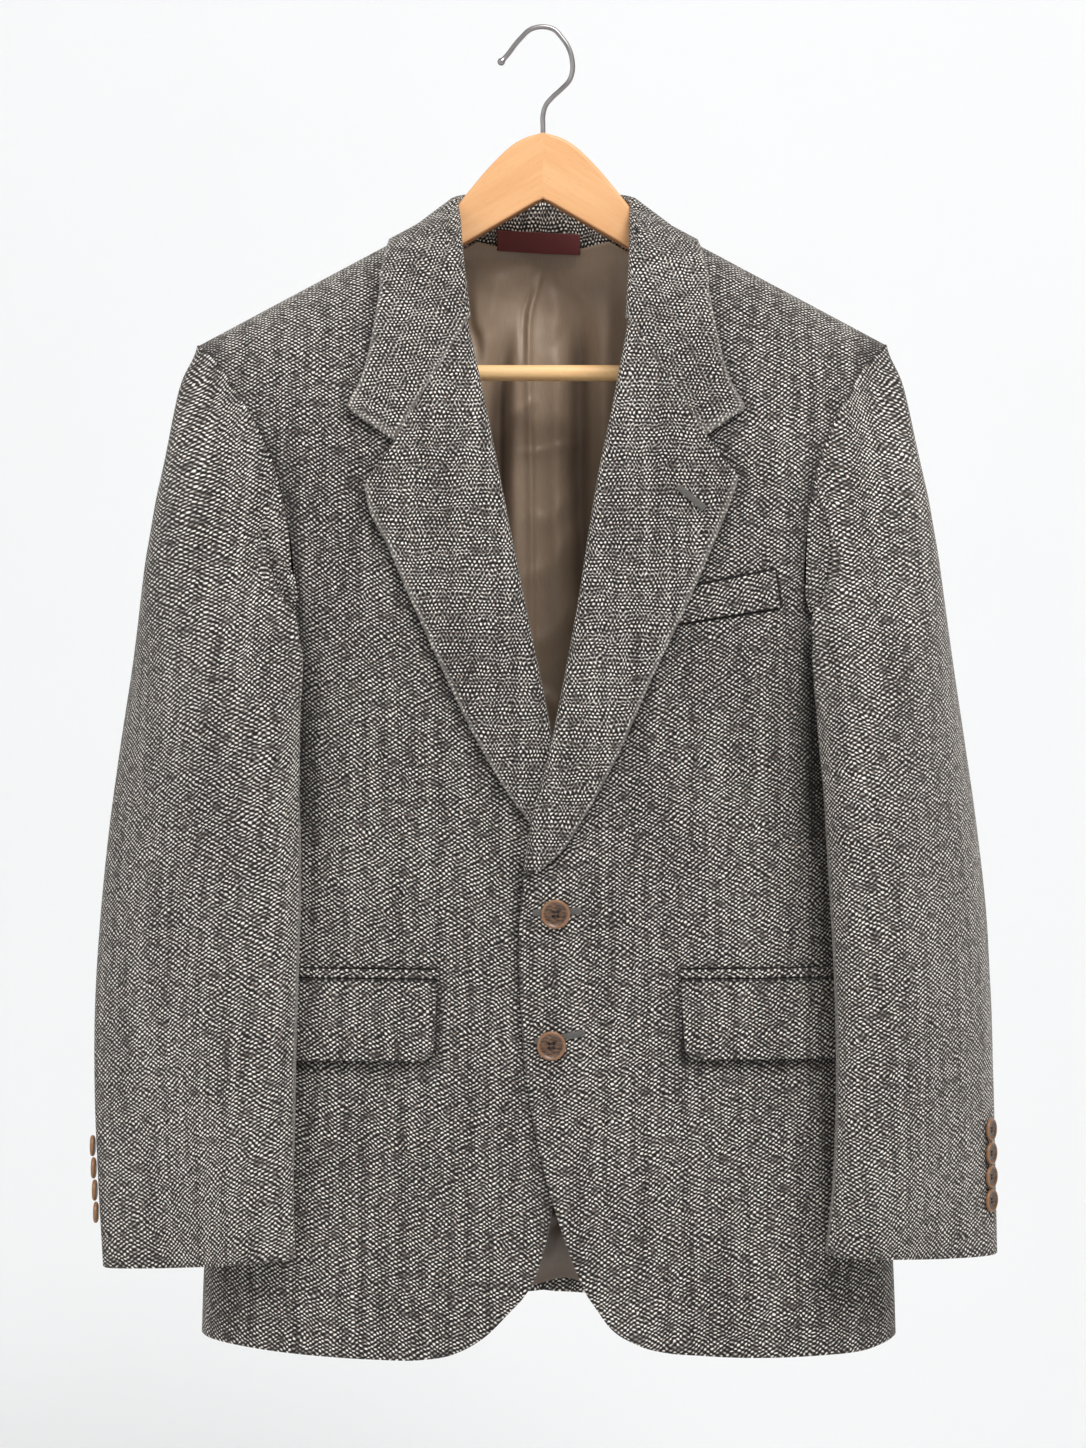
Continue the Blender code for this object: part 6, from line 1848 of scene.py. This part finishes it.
def wood_outline():
    """Half of the hanger's outline, from the crown along the arm and back underneath."""
    upper = list(WOOD_TOP)
    for x in np.linspace(90, WOOD_ARM_END, 8):
        upper.append((float(x), float(shoulder_height(x)) - WOOD_BELOW_SHOULDER))
    end_x, end_z = upper[-1]
    tip = [(end_x + 3.0, end_z - 6.0), (end_x + 2.5, end_z - 16.0), (LOBE[1], LOBE[2] + 6),
           (LOBE[1] - 6, LOBE[2]), (LOBE[0] + 6, LOBE[2]), (LOBE[0], LOBE[2] + 6)]
    lower = [(x, WOOD_FOOT + WOOD_FALL * x) for x in (LOBE[0], 140.0, 100.0, 61.0, 30.0, 0.0)]
    return np.array(upper + tip + lower)


def smooth_path(points, samples):
    """Evenly spaced points of a smooth curve through the given ones."""
    path = np.array(points, float)
    rows = np.column_stack([run_length(path), path])
    at = np.linspace(0, rows[-1, 0], samples)
    return np.stack([smooth(rows, 1, at), smooth(rows, 2, at)], -1)


def wood(name, slant, streak, dark_foot, dark, light):
    """Pale wood: fine grain along the piece, a few pores and, by a share, a darker band along the lower edge.
    """
    shader = Shader(name, {"Specular IOR Level": 0.4, "Coat Weight": 0.12, "Coat Roughness": 0.35})
    u, v, _ = shader.split(shader.place())
    turn = math.radians(slant)
    along = u * math.cos(turn) + v * math.sin(turn)
    across = v * math.cos(turn) - u * math.sin(turn)
    grain = shader.noise(shader.join(along * 0.06, across), 340.0 * streak, 4.0, 0.62)
    broad = shader.noise(shader.join(along * 0.12, across), 62.0 * streak, 3.0, 0.5)
    pore = shader.step(shader.noise(shader.join(along * 0.1, across), 1500.0, 1.0), 0.68, 0.8)
    colour = shader.blend(shader.step(grain * 0.4 + broad * 0.6, 0.25, 0.75), dark, light)
    colour = shader.blend(pore * 0.22, colour, rgb(170, 104, 54))
    above = (v - shader.math("ABSOLUTE", u) * WOOD_FALL - WOOD_FOOT * MM) / math.hypot(1.0, WOOD_FALL)
    foot = 1 - shader.step(above + grain * 0.0004, 0.0007, 0.0018)
    colour = shader.blend(foot * dark_foot, colour, rgb(150, 96, 58))
    return shader.finish(grain - pore * 0.5, 0.00012, 0.6, Base_Color=colour,
                         Roughness=grain * 0.15 + 0.38)


line = []
outline = wood_outline()
for a, b in zip(outline, np.roll(outline, -1, axis=0)):
    count = max(2, int(np.linalg.norm(b - a) / 2.5))
    line += [mix(a, b, k / count) for k in range(count)]
line = np.array(line)
mitre = line[:, :1] < 1.0
for _ in range(14):
    even = (np.roll(line, 1, axis=0) + line * 2 + np.roll(line, -1, axis=0)) / 4
    line = np.where(mitre, line, even)
tangent = unit(np.roll(line, -1, axis=0) - np.roll(line, 1, axis=0))
turn = np.sign(np.sum(line[:, 0] * np.roll(line[:, 1], -1) - np.roll(line[:, 0], -1) * line[:, 1]))
inside = np.stack([-tangent[:, 1], tangent[:, 0]], -1) * turn
ease = EASED * ramp(line[:, :1], 0.5, 6.0)
count = len(line)
for side, name in SIDES:
    loops = []
    for at in np.arange(7) * math.pi / 12:
        flat = line + inside * ease * (1 - math.sin(at))
        y = -WOOD_THICKNESS / 2 + ease[:, 0] * (1 - math.cos(at))
        loops.append(np.stack([flat[:, 0] * side, y, flat[:, 1]], -1))
    loops += [loop * np.array([1, -1, 1]) for loop in loops[::-1]]
    caps = [list(range(count))[::-1], [k + (len(loops) - 1) * count for k in range(count)]]
    faces = caps + ring_faces(len(loops), count)
    if turn * side > 0:
        faces = [face[::-1] for face in faces]
    points = np.concatenate(loops)
    piece = solid(f"wood_hanger_{name}", points, faces, points[:, [0, 2]])
    for face in piece.data.polygons:
        face.use_smooth = len(face.vertices) == 4
    made_of = wood(f"pale wood, {name} arm", ARM_SLANT * side, 1.0, 0.75, ARM_DARK, ARM_LIGHT)
    dress(piece, made_of, node=f"hanger_{name}")

sides = 40
turns = 2 * math.pi * np.arange(sides) / sides
ends = [(BAR_EASED * (1 - math.cos(t)) - BAR_HALF, BAR_RADIUS - BAR_EASED * (1 - math.sin(t)))
        for t in np.linspace(0, math.pi / 2, 5)]
stations = [(-BAR_HALF, 0.0)] + ends
stations += [(-x, r) for x, r in stations[::-1]]
points = [(x, r * math.sin(turn), BAR_Z + r * math.cos(turn)) for x, r in stations for turn in turns]
places = [(x, BAR_Z + BAR_RADIUS * turn) for x, _ in stations for turn in turns]
piece = solid("wood_trouser_bar", points, ring_faces(len(stations), sides), places)
made_of = wood("pale wood, bar", 0.0, 1.6, 0.0, BAR_DARK, BAR_LIGHT)
dress(piece, made_of, node="trouser_bar")


def steel(name):
    """Drawn steel wire, brushed along its length, with a thin scuffed shine."""
    shader = Shader(name, {"Metallic": 1.0})
    u, v, _ = shader.split(shader.place())
    brush = shader.noise(shader.join(u * 0.03, v), 2600.0, 2.0, 0.6)
    scuff = shader.noise(shader.place(), 60.0, 3.0, 0.6)
    colour = shader.blend(scuff * 0.5 + brush * 0.5, rgb(120, 116, 115), rgb(186, 182, 181))
    return shader.finish(brush, 0.00005, 0.5, Base_Color=colour,
                         Roughness=scuff * 0.2 + brush * 0.14 + 0.2)


path = smooth_path(HOOK_PATH, 150)
tangent = unit(np.gradient(path, axis=0))
tip = [(math.cos(t), math.sin(t)) for t in np.linspace(math.pi, math.pi * 0.28, 12)]
stations = [(path[0] + tangent[0] * HOOK_BALL * shift, tangent[0], HOOK_BALL * max(share, 0.02))
            for shift, share in tip]
start = int(np.argmax(np.linalg.norm(path - path[0], axis=1) > HOOK_BALL * 0.9))
stations += [(path[k], tangent[k], HOOK_RADIUS) for k in range(start, len(path))]
sides = 24
points, places = [], []
length = 0.0
for k, (centre, direction, radius) in enumerate(stations):
    if k:
        length += float(np.linalg.norm(centre - stations[k - 1][0]))
    across = np.array([direction[1], -direction[0]])
    for a in range(sides):
        turn = 2 * math.pi * a / sides
        points.append((centre[0] + across[0] * radius * math.cos(turn), radius * math.sin(turn),
                       centre[1] + across[1] * radius * math.cos(turn)))
        places.append((length, HOOK_RADIUS * turn))
faces = ring_faces(len(stations), sides)
faces.append(list(range(sides))[::-1])
faces.append([a + (len(stations) - 1) * sides for a in range(sides)])
piece = solid("wire_hook", points, faces, places)
dress(piece, steel("brushed steel wire"), node="hook")

# -------------------- room
# A pale paper floor that sweeps up into a backdrop, two large soft lights and a level
# camera.  The paper is clear from behind, so that the jacket's back can be seen.

# Depth and height of the floor's front and of the sweep's foot, the sweep's radius, the
# backdrop's top and half its width, in metres.
FLOOR_FRONT = (-4.0, -1.3)
SWEEP_FOOT = (0.9, -1.3)
SWEEP_RADIUS = 0.8
BACKDROP_TOP = 2.6
BACKDROP_HALF = 4.5

profile = [FLOOR_FRONT, SWEEP_FOOT]
profile += [(SWEEP_FOOT[0] + SWEEP_RADIUS * math.sin(t), SWEEP_FOOT[1] + SWEEP_RADIUS * (1 - math.cos(t)))
            for t in np.linspace(0, math.pi / 2, 17)[1:]]
profile += [(SWEEP_FOOT[0] + SWEEP_RADIUS, BACKDROP_TOP)]
points = [(x, y, z) for x in (-BACKDROP_HALF, BACKDROP_HALF) for y, z in profile]
count = len(profile)
faces = [[k, k + count, k + count + 1, k + 1] for k in range(count - 1)]
mesh = bpy.data.meshes.new("floor")
mesh.from_pydata(points, [], faces)
mesh.shade_smooth()
floor = placed("floor", mesh)
paper = Shader("pale paper", {"Roughness": 0.9, "Specular IOR Level": 0.1})
spot = paper.node("ShaderNodeTexCoord", {}, {}, "Object")
tone = paper.node("ShaderNodeTexNoise", {}, {"Vector": spot, "Scale": 3.0, "Detail": 2.0})
paper.finish(Base_Color=paper.blend(tone, rgb(246, 247, 247), rgb(250, 250, 251)))
behind = paper.node("ShaderNodeNewGeometry", {}, {}, "Backfacing")
clear = paper.node("ShaderNodeBsdfTransparent", {}, {}, "BSDF")
front = Value(paper, paper.surface.outputs["BSDF"])
shown = paper.node("ShaderNodeMixShader", {}, {0: behind, 1: front, 2: clear})
paper.tree.links.new(shown.socket, paper.tree.nodes["Material Output"].inputs["Surface"])
mesh.materials.append(paper.material)


def soft_light(name, place, aim, size, power):
    """A large square soft box that is aimed at a place."""
    lamp = bpy.data.lights.new(name, "AREA")
    lamp.shape = "SQUARE"
    lamp.size = size
    lamp.energy = power
    item = placed(name, lamp)
    x, y, z = np.array(aim, float) - np.array(place, float)
    item.location = place
    item.rotation_euler = (math.atan2(math.hypot(x, y), -z), 0, math.atan2(-x, y))


soft_light("key", (0.8, -1.9, 1.9), (0, 0, -0.45), 1.3, 84.0)
soft_light("fill", (-2.1, -1.6, 0.5), (0, 0, -0.5), 2.0, 16.0)
world = bpy.data.worlds.new("room")
world.use_nodes = True
sky = world.node_tree.nodes["Background"].inputs
sky["Color"].default_value = (1.0, 1.0, 1.0, 1.0)
sky["Strength"].default_value = 0.43
bpy.context.scene.world = world
bpy.context.scene.view_settings.view_transform = "Standard"

CAMERA_AWAY = 2.5
CAMERA_HEIGHT = -0.484

lens = bpy.data.cameras.new("camera")
lens.sensor_fit = "VERTICAL"
lens.sensor_height = 36.0
lens.lens = 88.8
lens.clip_start = 0.05
lens.clip_end = 50.0
camera = placed("camera", lens)
camera.location = (0.0, -CAMERA_AWAY, CAMERA_HEIGHT)
camera.rotation_euler = (math.pi / 2, 0.0, 0.0)
bpy.context.scene.camera = camera
